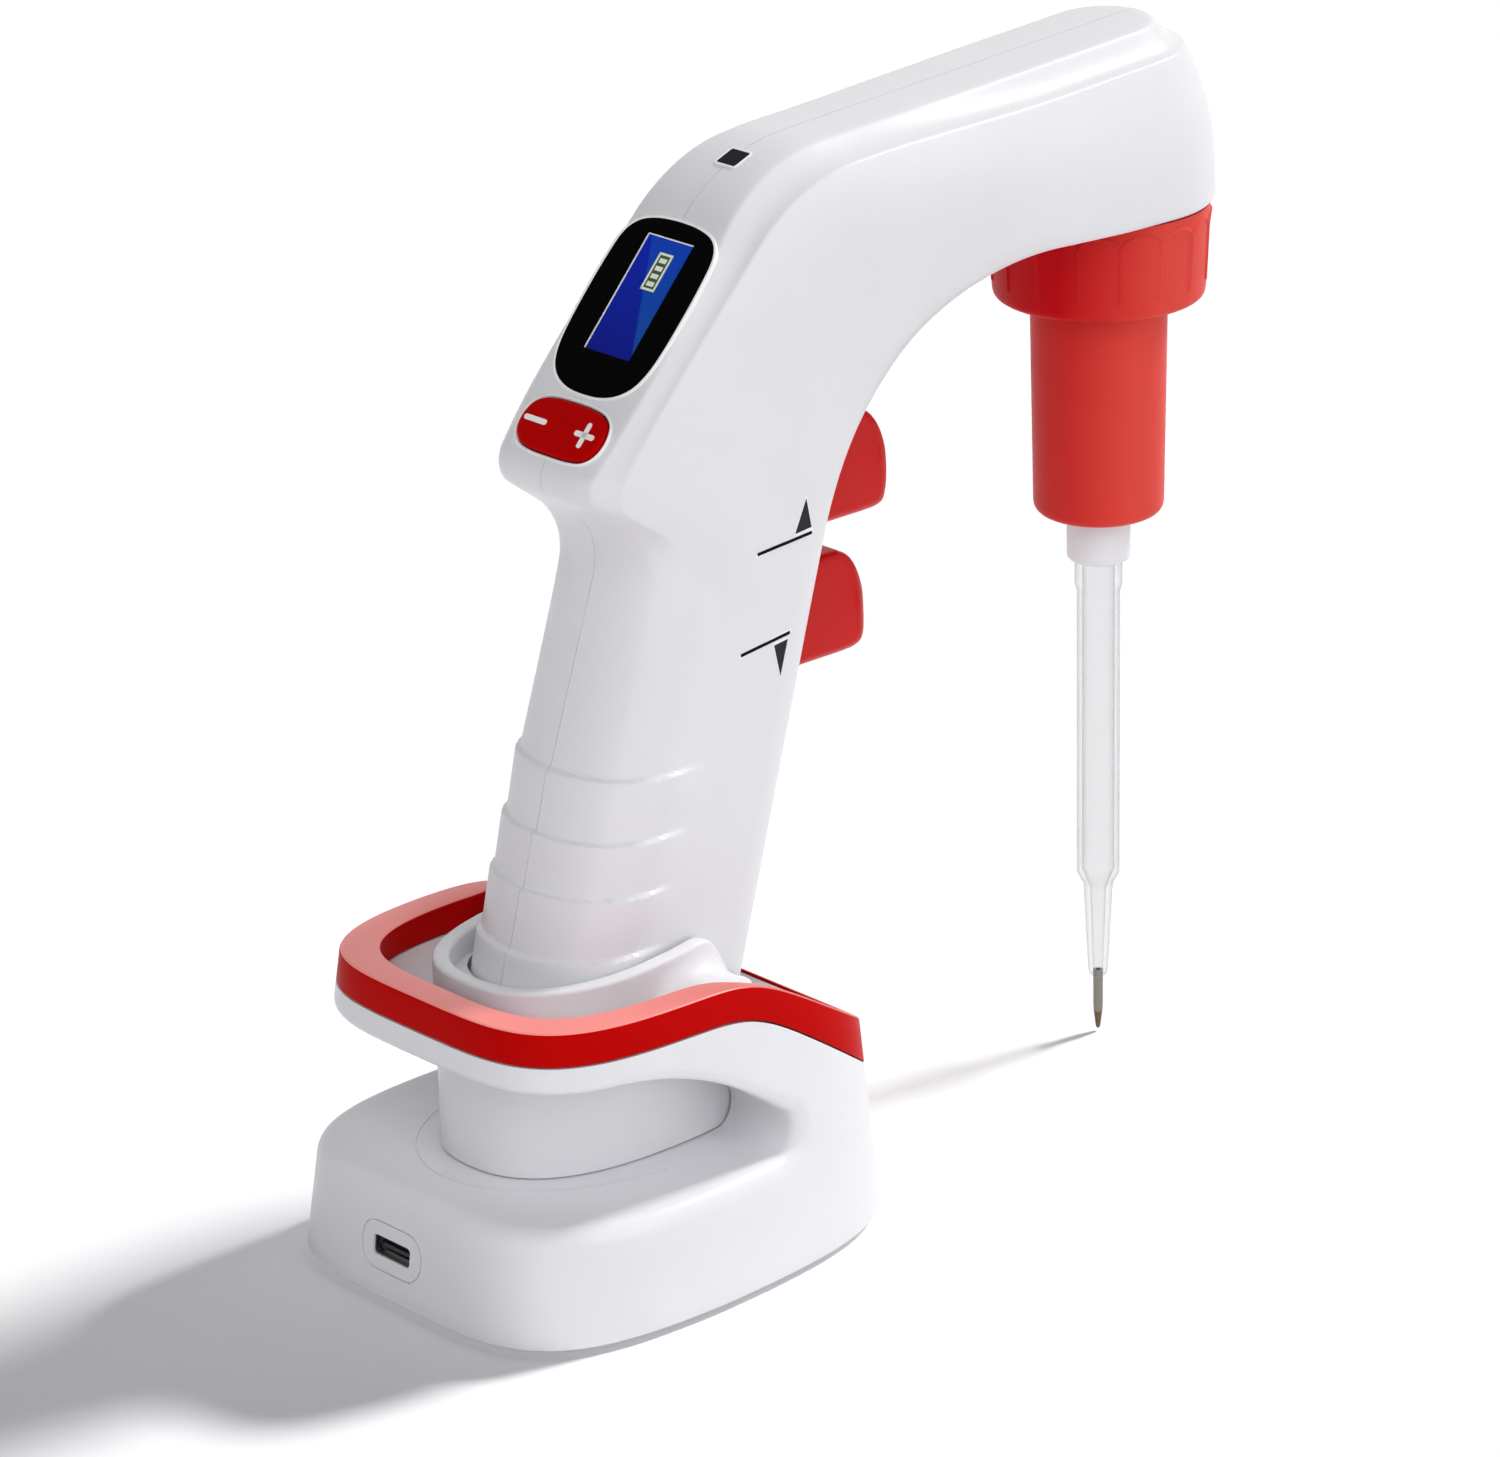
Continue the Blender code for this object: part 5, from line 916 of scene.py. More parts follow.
def make_display():
    """The window's glass with its screen, and the indicator's lens above it."""
    seat = slope_frame(WINDOW_CENTRE)
    low = SCREEN_CENTRE - SCREEN_LENGTH / 2
    high = SCREEN_CENTRE + SCREEN_LENGTH / 2
    half = SCREEN_WIDTH / 2
    panel = linked("window_panel", prism(WINDOW, -1.2, 0.02, seat))
    carve(panel, [prism(rectangle(low, high, -half, half), -0.45, 2.0, seat)])
    show(panel, BLACK_GLASS, "handset", "black_window", "display_window")
    play = 0.06                # between the screen and its opening
    screen = linked("screen_face", prism(
        rectangle(low + play, high - play, -half + play, half - play), -0.44, -0.22, seat))
    show(screen, make_screen_finish(), "handset", "blue_screen", "display_module")
    line = 0.22
    # Pale strips along the screen's top and left edges only: a painted highlight
    for name, box in (("top", (low + play, low + play + line, -half + play, half - play)),
                      ("left", (low + play, high - play, -half + play, -half + play + line))):
        strip = linked("screen_edge_" + name, prism(rectangle(*box), -0.21, -0.06, seat))
        show(strip, PRINT_AND_HIGHLIGHT_WHITE, "handset", "white_shell")
    make_battery_mark(seat, low)
    add_rim("window_rim", grown(WINDOW, 0.16), seat, 0.5, 0.16)
    add_rim("indicator_rim", grown(INDICATOR, 0.1), indicator_frame(), 0.45, 0.14)
    lens = linked("indicator_face", prism(grown(INDICATOR, -0.05), -1.6, 0.06,
                                          indicator_frame()))
    show(lens, LENS_BLACK, "handset", "black_window", "indicator_lens")


def make_battery_mark(seat, low):
    """Charge level: four short bars in a frame."""
    finish = Finish("screen_mark", base_color=(0.52, 0.58, 0.40), roughness=0.3)
    cloud = finish.noise(0.8)
    tone = finish.mix(cloud, (0.40, 0.47, 0.32), (0.62, 0.68, 0.50))
    finish.set("Base Color", tone)
    finish.set("Emission Color", tone)
    finish.set("Emission Strength", 0.35)
    top = low + 2.8
    length = 7.2
    left = -0.9
    width = 3.4
    line = 0.42
    bars = [(top, top + line, left, left + width),
            (top + length - line, top + length, left, left + width),
            (top, top + length, left, left + line),
            (top, top + length, left + width - line, left + width)]
    back = linked("battery_mark_back", prism(
        rectangle(top + 0.1, top + length - 0.1, left + 0.1, left + width - 0.1),
        -0.215, -0.19, seat))
    dark = moulded("screen_dark", (0.006, 0.030, 0.025), 0.3, depth=0.0)
    show(back, dark, "handset", "blue_screen")
    for index in range(4):
        start = top + 1.0 + index * 1.5
        bars.append((start, start + 0.85, left + 0.85, left + width - 0.85))
    for index, box in enumerate(bars):
        bar = linked("battery_mark_%d" % index, prism(rectangle(*box), -0.21, -0.14, seat))
        show(bar, finish.material, "handset", "blue_screen")


def make_rocker():
    """The speed rocker's domed pad with its rim, and its minus and plus marks."""
    seat = slope_frame(ROCKER_CENTRE)
    rings = []
    for height, inset in ((-2.5, 0.0), (0.25, 0.0), (0.5, 0.1), (0.66, 0.35), (0.7, 0.8),
                          (0.74, 3.0), (0.76, 4.6)):
        ring = grown(ROCKER, -inset) if inset < 1 else np.array(ROCKER) * (1 - inset / 5.6)
        rings.append([seat @ Vector((u, v, height)) for u, v in ring])
    pad = linked("rocker_pad", loft(rings))
    show(pad, ROCKER_RED, "rocker", "red_trim", "speed_rocker")
    add_rim("rocker_rim", grown(ROCKER, 0.58), seat, 0.42, 0.22)
    for name, box in (("minus", (-0.5, 0.5, -9.2, -3.6)), ("plus_bar", (-0.5, 0.5, 3.7, 8.5)),
                      ("plus_post", (-2.4, 2.4, 5.6, 6.6))):
        mark = linked("rocker_" + name, prism(rectangle(*box, 0.45), 0.5, 0.86, seat))
        show(mark, PRINT_AND_HIGHLIGHT_WHITE, "rocker", "red_trim")


def trigger_outline(rear, profile):
    """The button's side view: its front curve, closed by a straight root."""
    low = min(z for _, z in profile)
    high = max(z for _, z in profile)
    front = [np.array(point) for point in profile]
    padded = [np.array((rear, high))] + front + [np.array((rear, low))]
    curve = []
    for index in range(1, len(padded) - 2):
        curve += [curve_point(*padded[index - 1:index + 3], step / 6) for step in range(6)]
    root = rear + TRIGGER_ROOT
    top = [(rear, high), (root, high), ((root + front[0][0]) / 2, high)]
    return np.array(top + curve + [front[-1], (root, low), (rear, low)]), low, high


def make_trigger(name):
    """A rounded push button that stands out of the grip, slimmer to its top."""
    height, profile = TRIGGERS[name]
    rear = front_x(height) - math.tan(GRIP_FRONT_TILT) * TRIGGER_TALL / 2 - WALL - 1.2
    outline, low, high = trigger_outline(rear, profile)
    widths = [(TRIGGER_HALF_WIDTH - TRIGGER_CORNER + TRIGGER_CORNER * math.sin(a),
               TRIGGER_CORNER * (1 - math.cos(a))) for a in np.linspace(0, math.pi / 2, 8)]
    middle = (low + high) / 2
    tall = (high - low) / 2
    reach = outline[:, 0].max() - rear
    rings = []
    for y, inset in [(-width, inset) for width, inset in reversed(widths)] + widths:
        ring = []
        for x, z in outline:
            slim = 1 - 0.25 * max(0.0, (z - middle) / tall) ** 2
            ring.append((rear + (x - rear) * (1 - inset / reach), y * slim,
                         middle + (z - middle) * (1 - 0.8 * inset / tall)))
        rings.append(ring)
    button = linked("press_" + name, loft(rings))
    show(button, TRIGGER_RED, name + "_button", "red_trim", name + "_trigger")


# Nosepiece and pipette
COLLAR_HEIGHT = 17.7
COLLAR_TOP = BARREL_FLOOR - SEAT_GAP
COLLAR_LOW = COLLAR_TOP - COLLAR_HEIGHT
COLLAR_RADIUS = 20.08
COLLAR_TAPER = 0.8 / COLLAR_HEIGHT
COLLAR_ROUND = 1.4             # the fillet round its lower edge
COLLAR_FLOOR = 4.5             # thickness of the lip that carries the nosepiece
NOSE_NECK = 12.6               # the nosepiece's radius under its flange
ARCHES = 16
ARCH_PITCH = 2 * math.pi * COLLAR_RADIUS / ARCHES
ARCH_TOP = 161.5
ARCH_SPRING = 158.7            # where an arch leaves its posts
ARCH_FOOT = 149.3
ARCH_LINE = 0.26               # half the width of a raised line
ARCH_RISE = 0.36


def arch_lift(across, height):
    """The raised line round a finger panel, from the panel's middle outward."""
    if height > ARCH_SPRING:
        rise = ARCH_TOP - ARCH_SPRING
        share = across / (ARCH_PITCH / 2), (height - ARCH_SPRING) / rise
        size = math.hypot(*share)
        steep = math.hypot(share[0] / (ARCH_PITCH / 2), share[1] / rise) / max(size, 1e-6)
        apart = abs(size - 1) / max(steep, 1e-6)
    else:
        apart = math.hypot(ARCH_PITCH / 2 - abs(across), max(0.0, ARCH_FOOT - height))
    return ARCH_RISE * (1 - eased(min(1.0, apart / (2 * ARCH_LINE))))


def make_collar():
    """The coupling nut, with slim raised arches round its finger panels."""
    across = np.concatenate([np.linspace(0, 0.78, 22, endpoint=False),
                             np.linspace(0.78, 1, 12)])
    shares = np.concatenate([-across[:0:-1], across[:-1]])
    heights = np.concatenate([(COLLAR_TOP, 162.6, 162.1), np.arange(161.9, 158.3, -0.12),
                              (157.0, 155.0, 153.0, 151.0, 150.0),
                              np.arange(149.6, 148.7, -0.12), (148.0, 147.2)])
    rings = []
    for height in heights:
        radius = COLLAR_RADIUS - COLLAR_TAPER * (COLLAR_TOP - height)
        rings.append(([radius + arch_lift(share * ARCH_PITCH / 2, height)
                       for share in shares], height))
    base = COLLAR_RADIUS - COLLAR_TAPER * COLLAR_HEIGHT
    plain = [(base - COLLAR_ROUND * (1 - math.cos(angle)),
              COLLAR_LOW + COLLAR_ROUND - COLLAR_ROUND * math.sin(angle))
             for angle in np.linspace(0, math.pi / 2, 8)[1:]]
    lip = NOSE_NECK + SLIDE_GAP
    inner = SPIGOT_RADIUS + SLIDE_GAP
    plain += [(lip, COLLAR_LOW), (lip, COLLAR_LOW + COLLAR_FLOOR),
              (inner, COLLAR_LOW + COLLAR_FLOOR), (inner, COLLAR_TOP)]
    rings += [([reach] * len(shares), height) for reach, height in plain]
    turns = [(arch + share / 2) * 2 * math.pi / ARCHES
             for arch in range(ARCHES) for share in shares]
    nut = linked("collar_nut", hoop([
        [(NOZZLE_X + reach * math.cos(turn), reach * math.sin(turn), height)
         for reach, turn in zip(reaches * ARCHES, turns)] for reaches, height in rings]))
    # The nut's red carries painted shading: darker at the rear, lighter to the front
    show(nut, CORAL_PAINTED_SHADING, "collar", "coral_nose", "nose_collar")


def make_nosepiece():
    """The red cone, which hangs by its flange, and the white holder in it."""
    flange_low = COLLAR_LOW + COLLAR_FLOOR + SEAT_GAP
    flange_top = BARREL_FLOOR - 9.2 - 2 * SEAT_GAP - 1.8
    mouth = 6.15
    cone = linked("cone_skin", turned((
        (13.9, flange_top, 0), (13.9, flange_low, 0), (NOSE_NECK, flange_low, 0),
        (11.95, 104.0, 2.2), (mouth, 104.0, 0.3), (mouth, 106.2, 0), (8.0, 106.2, 0),
        (8.0, flange_top, 0)), 128))
    show(cone, CORAL_PAINTED_SHADING, "nosepiece", "coral_nose", "nose_cone")
    holder = linked("holder_sleeve", turned((
        (7.7, 127.0, 0), (7.7, 106.5, 0), (5.85, 106.5, 0), (5.85, 94.6, 1.1),
        (4.3, 94.6, 0.15), (4.3, 118.3, 0), (3.0, 118.3, 0), (3.0, 127.0, 0))))
    show(holder, SILICONE, "nosepiece", "white_silicone", "pipette_holder")


TIP_SHOULDER = 4.6             # below this height the metal is bronze


def make_pipette():
    """The stepped clear tube, and the metal tip at its end."""
    tube = linked("pipette_glass", turned((
        (4.0, 118.0, 0.3), (4.0, 94.3, 0), (4.4, 94.3, 0.2), (4.4, 89.6, 0.3), (4.0, 88.4, 0.4),
        (4.0, 32.6, 1.6), (2.75, 30.2, 0.3), (1.85, 12.9, 0.4), (1.55, 11.7, 0.2),
        (0.97, 11.7, 0), (0.97, 13.4, 0.2), (1.5, 29.4, 0.3), (3.0, 33.2, 1.0),
        (3.0, 118.0, 0.2))))
    show(tube, CLEAR, "pipette", "clear_tube", "pipette_tube")
    tip = linked("tip_point", turned((
        (0.92, 12.6, 0), (0.92, 5.4, 0.15), (0.84, 4.2, 0.1), (0.40, 0.9, 0.15), (0.25, 0.7, 0),
        (0.2, 0.75, 0), (0.45, 12.6, 0)), 48))
    show(tip, TIP_STEEL, "pipette", "steel", "pipette_tip")
    tip.data.materials.append(TIP_BRONZE)
    for face in tip.data.polygons:
        face.material_index = int(face.center.z < TIP_SHOULDER * MM)


# Stand outline in plan and in side view
STAND_MIDDLE = 4.4
STAND_REAR = 52.6
STAND_FRONT = 42.5
STAND_HALF_WIDTH = 40.2
STAND_WIDEST = -12.5
FRONT_NARROWING = 7.8
SLAB_TOP = 22.0
SHELL_FOOT = 1.2
FOOT_ROUND = 0.5
RIM_TOP = 56.7
BAND_LOW = RIM_TOP - 5.8
GAP_NOSE = 10.1
GAP_ROUNDING = 4.5
GAP_LEVEL = BAND_LOW - 5.4
GAP_LEVEL_X = -26.0            # behind this the gap's ceiling is level
GAP_STATIONS = 120
CUP_CENTRE = -1.0
CUP_LENGTH = 59.5
CUP_WIDTH = 40.6
CUP_FULLNESS = 0.8             # power of the cup's rounded plan
CUP_STATIONS = 240
CUP_SHOULDER_X = -6.0          # behind this the gap's surfaces fan round the cup
MOUTH_FLOOR = 52.7
CUP_WALL = 2.9
END_CAP = 3.0                  # the grip's cap, its contact pad and the play under them
CAP_PAD = 0.6
CAP_PLAY = 1.0
CUP_PEAK_X = 9.6
CUP_PEAK = 59.4
ARM_TOP_GAP = 0.3
INLET_HEIGHT = 10.5
INLET_SIDE = 2.0


def signed_root(value, power):
    return math.copysign(abs(value) ** power, value)


def half_length(along, height):
    """From the stand's middle to its front or its rear, at a height."""
    if along > 0:
        return STAND_FRONT - 0.075 * height
    return STAND_REAR - 0.135 * height


def plan_spot(angle, height, inset=0.0):
    """A point of the stand's outline at a height, drawn in by a margin."""
    along = math.cos(angle)
    x = STAND_MIDDLE + (half_length(along, height) - inset) * signed_root(along, 0.5)
    ahead = max(0.0, x - STAND_WIDEST) / (STAND_MIDDLE + STAND_FRONT - STAND_WIDEST)
    reach = STAND_HALF_WIDTH - 0.1 * height - inset - FRONT_NARROWING * ahead ** 2
    return np.array((x, reach * signed_root(math.sin(angle), 0.5), height))


def plan_angle(x, height):
    """The angle of the left wall's point over x, at a height."""
    offset = x - STAND_MIDDLE
    share = min(1.0, abs(offset) / half_length(offset, height))
    return math.acos(math.copysign(share ** 2, offset))


def even_angles(count, height, start=0.0, end=2 * math.pi):
    """Angles whose points stand at even distances along the outline."""
    fine = np.linspace(start, end, 1441)
    spots = np.array([plan_spot(angle, height) for angle in fine])
    travel = travelled(step_lengths(spots))
    return np.interp(np.linspace(0, travel[-1], count), travel, fine)


def falling_line(x, level, break_x, fall):
    """A level line that bends softly down to a slope past break_x."""
    return level - fall * math.log1p(math.exp((x - break_x) / 4.0)) * 4.0


def rim_height(x):
    """The trim's upper edge in side view."""
    return falling_line(x, RIM_TOP, 6.2, 0.62)


def band_height(x):
    """The trim's lower edge in side view."""
    return falling_line(x, BAND_LOW, 5.6, 0.68)


def trim_width(x):
    """The trim's width in plan, broad round the rear and slim along the arm."""
    return 6.0 - 4.0 / (1 + math.exp(-(x - 2.0) / 2.5))


def on_line(angle, line, inset=0.0):
    """The outline's point whose height follows a side-view line."""
    height = line(plan_spot(angle, 40.0, inset)[0])
    for _ in range(4):
        height = line(plan_spot(angle, height, inset)[0])
    return plan_spot(angle, height, inset)


def cup_spot(angle, height, inset=0.0):
    """A point of the cup's wall, which slims a little downward."""
    slim = 0.03 * (RIM_TOP - height) + inset
    return np.array((
        CUP_CENTRE + (CUP_LENGTH / 2 - inset) * signed_root(math.cos(angle), CUP_FULLNESS),
        (CUP_WIDTH / 2 - slim) * signed_root(math.sin(angle), CUP_FULLNESS), height))


def soft_corner(before, corner, after, radius, steps=5):
    """An edge rounded between two neighbouring corners of a section."""
    before, corner, after = (np.array(point, float) for point in (before, corner, after))
    first, second = before - corner, after - corner
    lengths = np.linalg.norm(first), np.linalg.norm(second)
    if min(lengths) < 1e-6 or radius <= 0:
        return [corner]
    first = first / lengths[0] * min(radius, lengths[0] * 0.45)
    second = second / lengths[1] * min(radius, lengths[1] * 0.45)
    angles = [math.pi / 2 * step / steps for step in range(steps + 1)]
    return [corner + first * (1 - math.sin(a)) + second * (1 - math.cos(a)) for a in angles]


# The finger gap's edge, from the slab's top round the nose to the arm's underside
def gap_edge():
    """Points, outward directions and fillet radii along the gap's edge."""
    arc = [(GAP_NOSE + GAP_ROUNDING * math.cos(a), SLAB_TOP + GAP_ROUNDING * (1 + math.sin(a)))
           for a in np.linspace(-math.pi / 2, math.radians(32), 24)]
    line = [(x, GAP_LEVEL - 14.0 * (max(0.0, x + 25.9) / 36.0) ** 2)
            for x in np.linspace(GAP_NOSE, -44.0, 60)]
    path = np.array([(-44.0, SLAB_TOP)] + arc + line)
    travel = travelled(step_lengths(path))
    pitch = 0.2
    reach = 30
    even = np.arange(0, travel[-1], pitch)
    points = both_columns(lambda column: np.interp(even, travel, column), path)
    weights = bell(np.arange(-reach, reach + 1) * pitch / 1.3)
    points[reach:-reach] = both_columns(
        lambda column: np.convolve(column, weights, "valid"), points)
    tangent = np.gradient(points, axis=0)
    tangent /= np.linalg.norm(tangent, axis=1)[:, None]
    outward = np.stack([tangent[:, 1], -tangent[:, 0]], 1)
    ahead = np.clip((points[:, 1] - 27.0) / 8.0, 0, 1)
    radius = 3.4 - 1.2 * ahead * ahead * (3 - 2 * ahead)
    return points, outward, radius


def gap_branch(points, outward, radius):
    """Stations from the gap's nose to the rear middle, as wall angle and height of the
    true edge and of the fillet's start, and the gap surface's outward direction."""
    rows = []
    for (x, z), (nx, nz), r in zip(points, outward, radius):
        if x < GAP_LEVEL_X:
            break
        far_x, far_z = x + r * nx, z + r * nz
        rows.append((plan_angle(x, z), z, plan_angle(far_x, far_z), far_z, nx, nz, r))
    angle, z, far_angle, far_z, nx, nz, r = rows[-1]
    for share in np.linspace(0, 1, 240)[1:]:
        rows.append((angle + (math.pi - angle) * share, z,
                     far_angle + (math.pi - far_angle) * share, far_z, nx, nz, r))
    rows = np.array(rows)
    spots = np.array([plan_spot(row[2], row[3]) for row in rows])
    travel = travelled(step_lengths(spots) + 6 * step_lengths(rows[:, 4:6]))
    goals = np.linspace(0, travel[-1], GAP_STATIONS)
    return np.stack([np.interp(goals, travel, rows[:, column])
                     for column in range(rows.shape[1])], 1)


def ceiling_height(points, x):
    """The height over x of the gap's upper edge."""
    order = np.argsort(points[:, 0])
    return float(np.interp(x, points[order, 0], points[order, 1]))


def make_base_shell():
    """The stand's shell: slab, finger gap, arm, and the hole for the cup."""
    points, outward, radius = gap_edge()
    nose = int(np.argmax((points + outward * radius[:, None])[:, 0]))
    low = gap_branch(points[nose::-1], outward[nose::-1], radius[nose::-1])
    high = gap_branch(points[nose:], outward[nose:], radius[nose:])
    upper = points[nose:]
    high_line = upper[upper[:, 1] > SLAB_TOP + GAP_ROUNDING]
    shape = bmesh.new()
    tip_angle = low[0][2]
    tip_height = low[0][3]

    def wall(start, end, angle):
        """Points up the outer wall, to the arm's top where no end is given."""
        if end is None:
            end = on_line(angle, lambda x: band_height(x) - ARM_TOP_GAP)[2]
        return [plan_spot(angle, height) for height in np.linspace(start, end, 8)]

    def cup_reach(x, height):
        """Half the width over x of the cup's hole."""
        share = min(1.0, abs(x - CUP_CENTRE) / (CUP_LENGTH / 2 + ARM_TOP_GAP))
        along = share ** (1 / CUP_FULLNESS)
        across = math.sqrt(max(0.0, 1 - along ** 2))
        reach = CUP_WIDTH / 2 + ARM_TOP_GAP - 0.03 * (RIM_TOP - height)
        return reach * across ** CUP_FULLNESS

    def cup_station(row, spot, share):
        """Where a strip that starts at spot meets the cup's hole."""
        if spot[0] > CUP_SHOULDER_X:
            return spot[0], cup_reach(spot[0], row[1])
        shoulder = (CUP_CENTRE - CUP_SHOULDER_X) / (CUP_LENGTH / 2)
        start = math.pi - math.acos(shoulder ** (1 / CUP_FULLNESS))
        angle = start + (math.pi - start) * share
        place = cup_spot(angle, row[1], -ARM_TOP_GAP)
        return place[0], place[1]

    rings = {}
    for side in (-1, 1):
        flip = np.array((1, side, 1))
        for name, branch in (("low", low), ("high", high)):
            edges, starts = [], []
            for row in branch:
                corner = plan_spot(row[0], row[1])
                start = plan_spot(row[2], row[3])
                ahead = plan_spot(row[0] + 1e-3, row[1]) - plan_spot(row[0] - 1e-3, row[1])
                rise = plan_spot(row[0], row[1] + 0.1) - corner
                normal = unit(np.cross(ahead, rise))
                if normal[1] < 0 or (abs(normal[1]) < 1e-6 and normal[0] > 0):
                    normal = -normal
                out = np.array((row[4], 0.0, row[5]))
                inward = unit(-normal + out * float(normal @ out))
                starts.append(start)
                edges.append((corner, corner + inward * row[6]))
            ends = np.array([edge[1] for edge in edges])
            travel = travelled(step_lengths(ends))
            first = travel[np.argmax(ends[:, 0] <= CUP_SHOULDER_X)]
            wall_rows, fillet_rows, floor_rows, hole_rows = [], [], [], []
            for row, start, (corner, end), far in zip(branch, starts, edges, travel):
                if name == "low":
                    wall_rows.append(wall(SHELL_FOOT + FOOT_ROUND, row[3], row[2]))
                else:
                    wall_rows.append(wall(row[3], None, row[2]))
                fillet_rows.append([corner + (start - corner) * (1 - math.sin(a))
                                    + (end - corner) * (1 - math.cos(a))
                                    for a in np.linspace(0, math.pi / 2, 9)])
                share = max(0.0, (far - first) / (travel[-1] - first))
                meet_x, meet_y = cup_station(row, end, share)
                level = end[0] > CUP_SHOULDER_X or name == "low"
                strip = []
                for s in np.linspace(0, 1, 7):
                    x = end[0] + (meet_x - end[0]) * s
                    y = end[1] + (meet_y - end[1]) * s
                    z = end[2] if level else ceiling_height(high_line, x)
                    strip.append(np.array((x, y, z)))
                floor_rows.append(strip)
                base = strip[-1].copy()
                base[2] = SLAB_TOP if name == "low" else band_height(base[0]) - ARM_TOP_GAP
                hole_rows.append([strip[-1], base])
            for rows in (wall_rows, fillet_rows, floor_rows, hole_rows):
                add_grid(shape, [[point * flip for point in row] for row in rows])
            rings[name, side] = (
                [row[0] * flip for row in wall_rows], [row[-1] * flip for row in wall_rows],
                [row[-1] * flip for row in hole_rows])
    front_walls = [wall(SHELL_FOOT + FOOT_ROUND, tip_height, angle)
                   + wall(tip_height, None, angle)[1:]
                   for angle in even_angles(90, 30.0, -tip_angle, tip_angle)]
    add_grid(shape, front_walls)
    tip_x = rings["low", 1][2][0][0]
    hole_angle = math.acos(((tip_x - CUP_CENTRE) / (CUP_LENGTH / 2 + ARM_TOP_GAP))
                           ** (1 / CUP_FULLNESS))
    hole_front = []
    for angle in np.linspace(-hole_angle, hole_angle, 60):
        x, y, _ = cup_spot(angle, SLAB_TOP, -ARM_TOP_GAP)
        hole_front.append([np.array((x, y, SLAB_TOP)),
                           np.array((x, y, band_height(x) - ARM_TOP_GAP))])
    hole_front[0] = [rings["low", -1][2][0], rings["high", -1][2][0]]
    hole_front[-1] = [rings["low", 1][2][0], rings["high", 1][2][0]]
    add_grid(shape, hole_front)
    add_arm_top(shape, rings, front_walls, hole_front)
    add_base_floor(shape, rings, front_walls, hole_front)
    finish_base_shell(linked("stand_shell", mesh_from(shape)))


def loop_of(rings, which, place, front):
    """A closed loop round the stand: right rear to the front, then left to the rear."""
    right = rings[which, -1][place]
    left = rings[which, 1][place]
    return list(reversed(right)) + front[1:-1] + list(left[:-1])


def add_arm_top(shape, rings, front_walls, hole_front):
    """The shell's top under the trim, between its wall and the cup's hole."""
    outer = loop_of(rings, "high", 1, [row[-1] for row in front_walls])
    inner = loop_of(rings, "high", 2, [row[-1] for row in hole_front])
    bridge_loops(shape, outer, inner)


def bridge_loops(shape, outer, inner):
    """Fill between two closed loops with triangles."""
    edges = []
    for loop in (outer, inner):
        verts = [shape.verts.new(point) for point in loop]
        for here, ahead in zip(verts, verts[1:] + verts[:1]):
            if (here.co - ahead.co).length > 1e-5:
                edges.append(shape.edges.new((here, ahead)))
    bmesh.ops.triangle_fill(shape, use_beauty=True, use_dissolve=False, edges=edges)


def add_base_floor(shape, rings, front_walls, hole_front):
    """The underside: a rounded foot, the cavity over the base plate, the cup's floor."""
    outer = loop_of(rings, "low", 0, [row[0] for row in front_walls])
    rows = [outer]
    for share in (0.3, 0.7, 1.0):
        inset = FOOT_ROUND * (1 - math.cos(math.pi / 2 * share))
        height = SHELL_FOOT + FOOT_ROUND * (1 - math.sin(math.pi / 2 * share))
        rows.append([np.array((STAND_MIDDLE + (p[0] - STAND_MIDDLE) * (1 - inset / 45),
                               p[1] * (1 - inset / 40), height)) for p in outer])
    for inset, height in ((2.8, SHELL_FOOT), (3.8, 18.6)):
        rows.append([np.array((STAND_MIDDLE + (p[0] - STAND_MIDDLE) * (1 - inset / 45),
                               p[1] * (1 - inset / 38), height)) for p in outer])
    grid = add_grid(shape, rows, wrap=True)
    shape.faces.new(grid[-1])
    cup_floor = loop_of(rings, "low", 2, [row[0] for row in hole_front])
    shape.faces.new([shape.verts.new((p[0], p[1], SLAB_TOP)) for p in cup_floor])


def finish_base_shell(shell):
    """The inlet's mouth and inset, and the fine panel lines on the slab."""
    rear = plan_spot(math.pi, INLET_HEIGHT)[0]
    mouth = frame_matrix((rear, INLET_SIDE, INLET_HEIGHT), (0, 1, 0), (0.135, 0, 1))
    oblong = rectangle(-8.0, 8.0, -4.5, 4.5, 3.9)
    groove = hoop([[mouth @ Vector((u * k, v * m, w)) for k, m, w in (
        (1.0, 1.0, -1.0), (1.0, 1.0, 0.35), (0.965, 0.94, 0.35), (0.965, 0.94, -1.0))]
        for u, v in oblong])
    opening = prism(rectangle(-4.9, 4.9, -1.8, 1.8, 0.8), -6.0, 10.0, mouth)
    lining = linked("inlet_lining", prism(rectangle(-4.85, 4.85, -1.75, 1.75, 0.78),
                                          0.45, 3.4, mouth))
    carve(lining, [prism(rectangle(-4.5, 4.5, -1.4, 1.4, 0.5), -1.0, 3.0, mouth)])
    show(lining, BLACK_PLASTIC, "stand", "black_plastic")
    tongue = linked("inlet_tongue", prism(rectangle(-3.4, 3.4, -0.35, 0.35, 0.2),
                                          1.1, 3.2, mouth))
    show(tongue, BLACK_PLASTIC, "stand", "black_plastic")
    turns = np.radians(np.linspace(100, 262, 60))
    arc = [(CUP_CENTRE - 1.0 + (34.5 + side) * math.cos(a), (25.2 + side) * math.sin(a))
           for side, order in ((0.11, 1), (-0.11, -1)) for a in turns[::order]]
    level = frame_matrix((0, 0, SLAB_TOP), (1, 0, 0), (0, 1, 0))
    carve(shell, [groove, opening, prism(arc, -0.16, 0.4, level)])
    show(shell, WHITE, "stand", "white_shell", "base_shell")


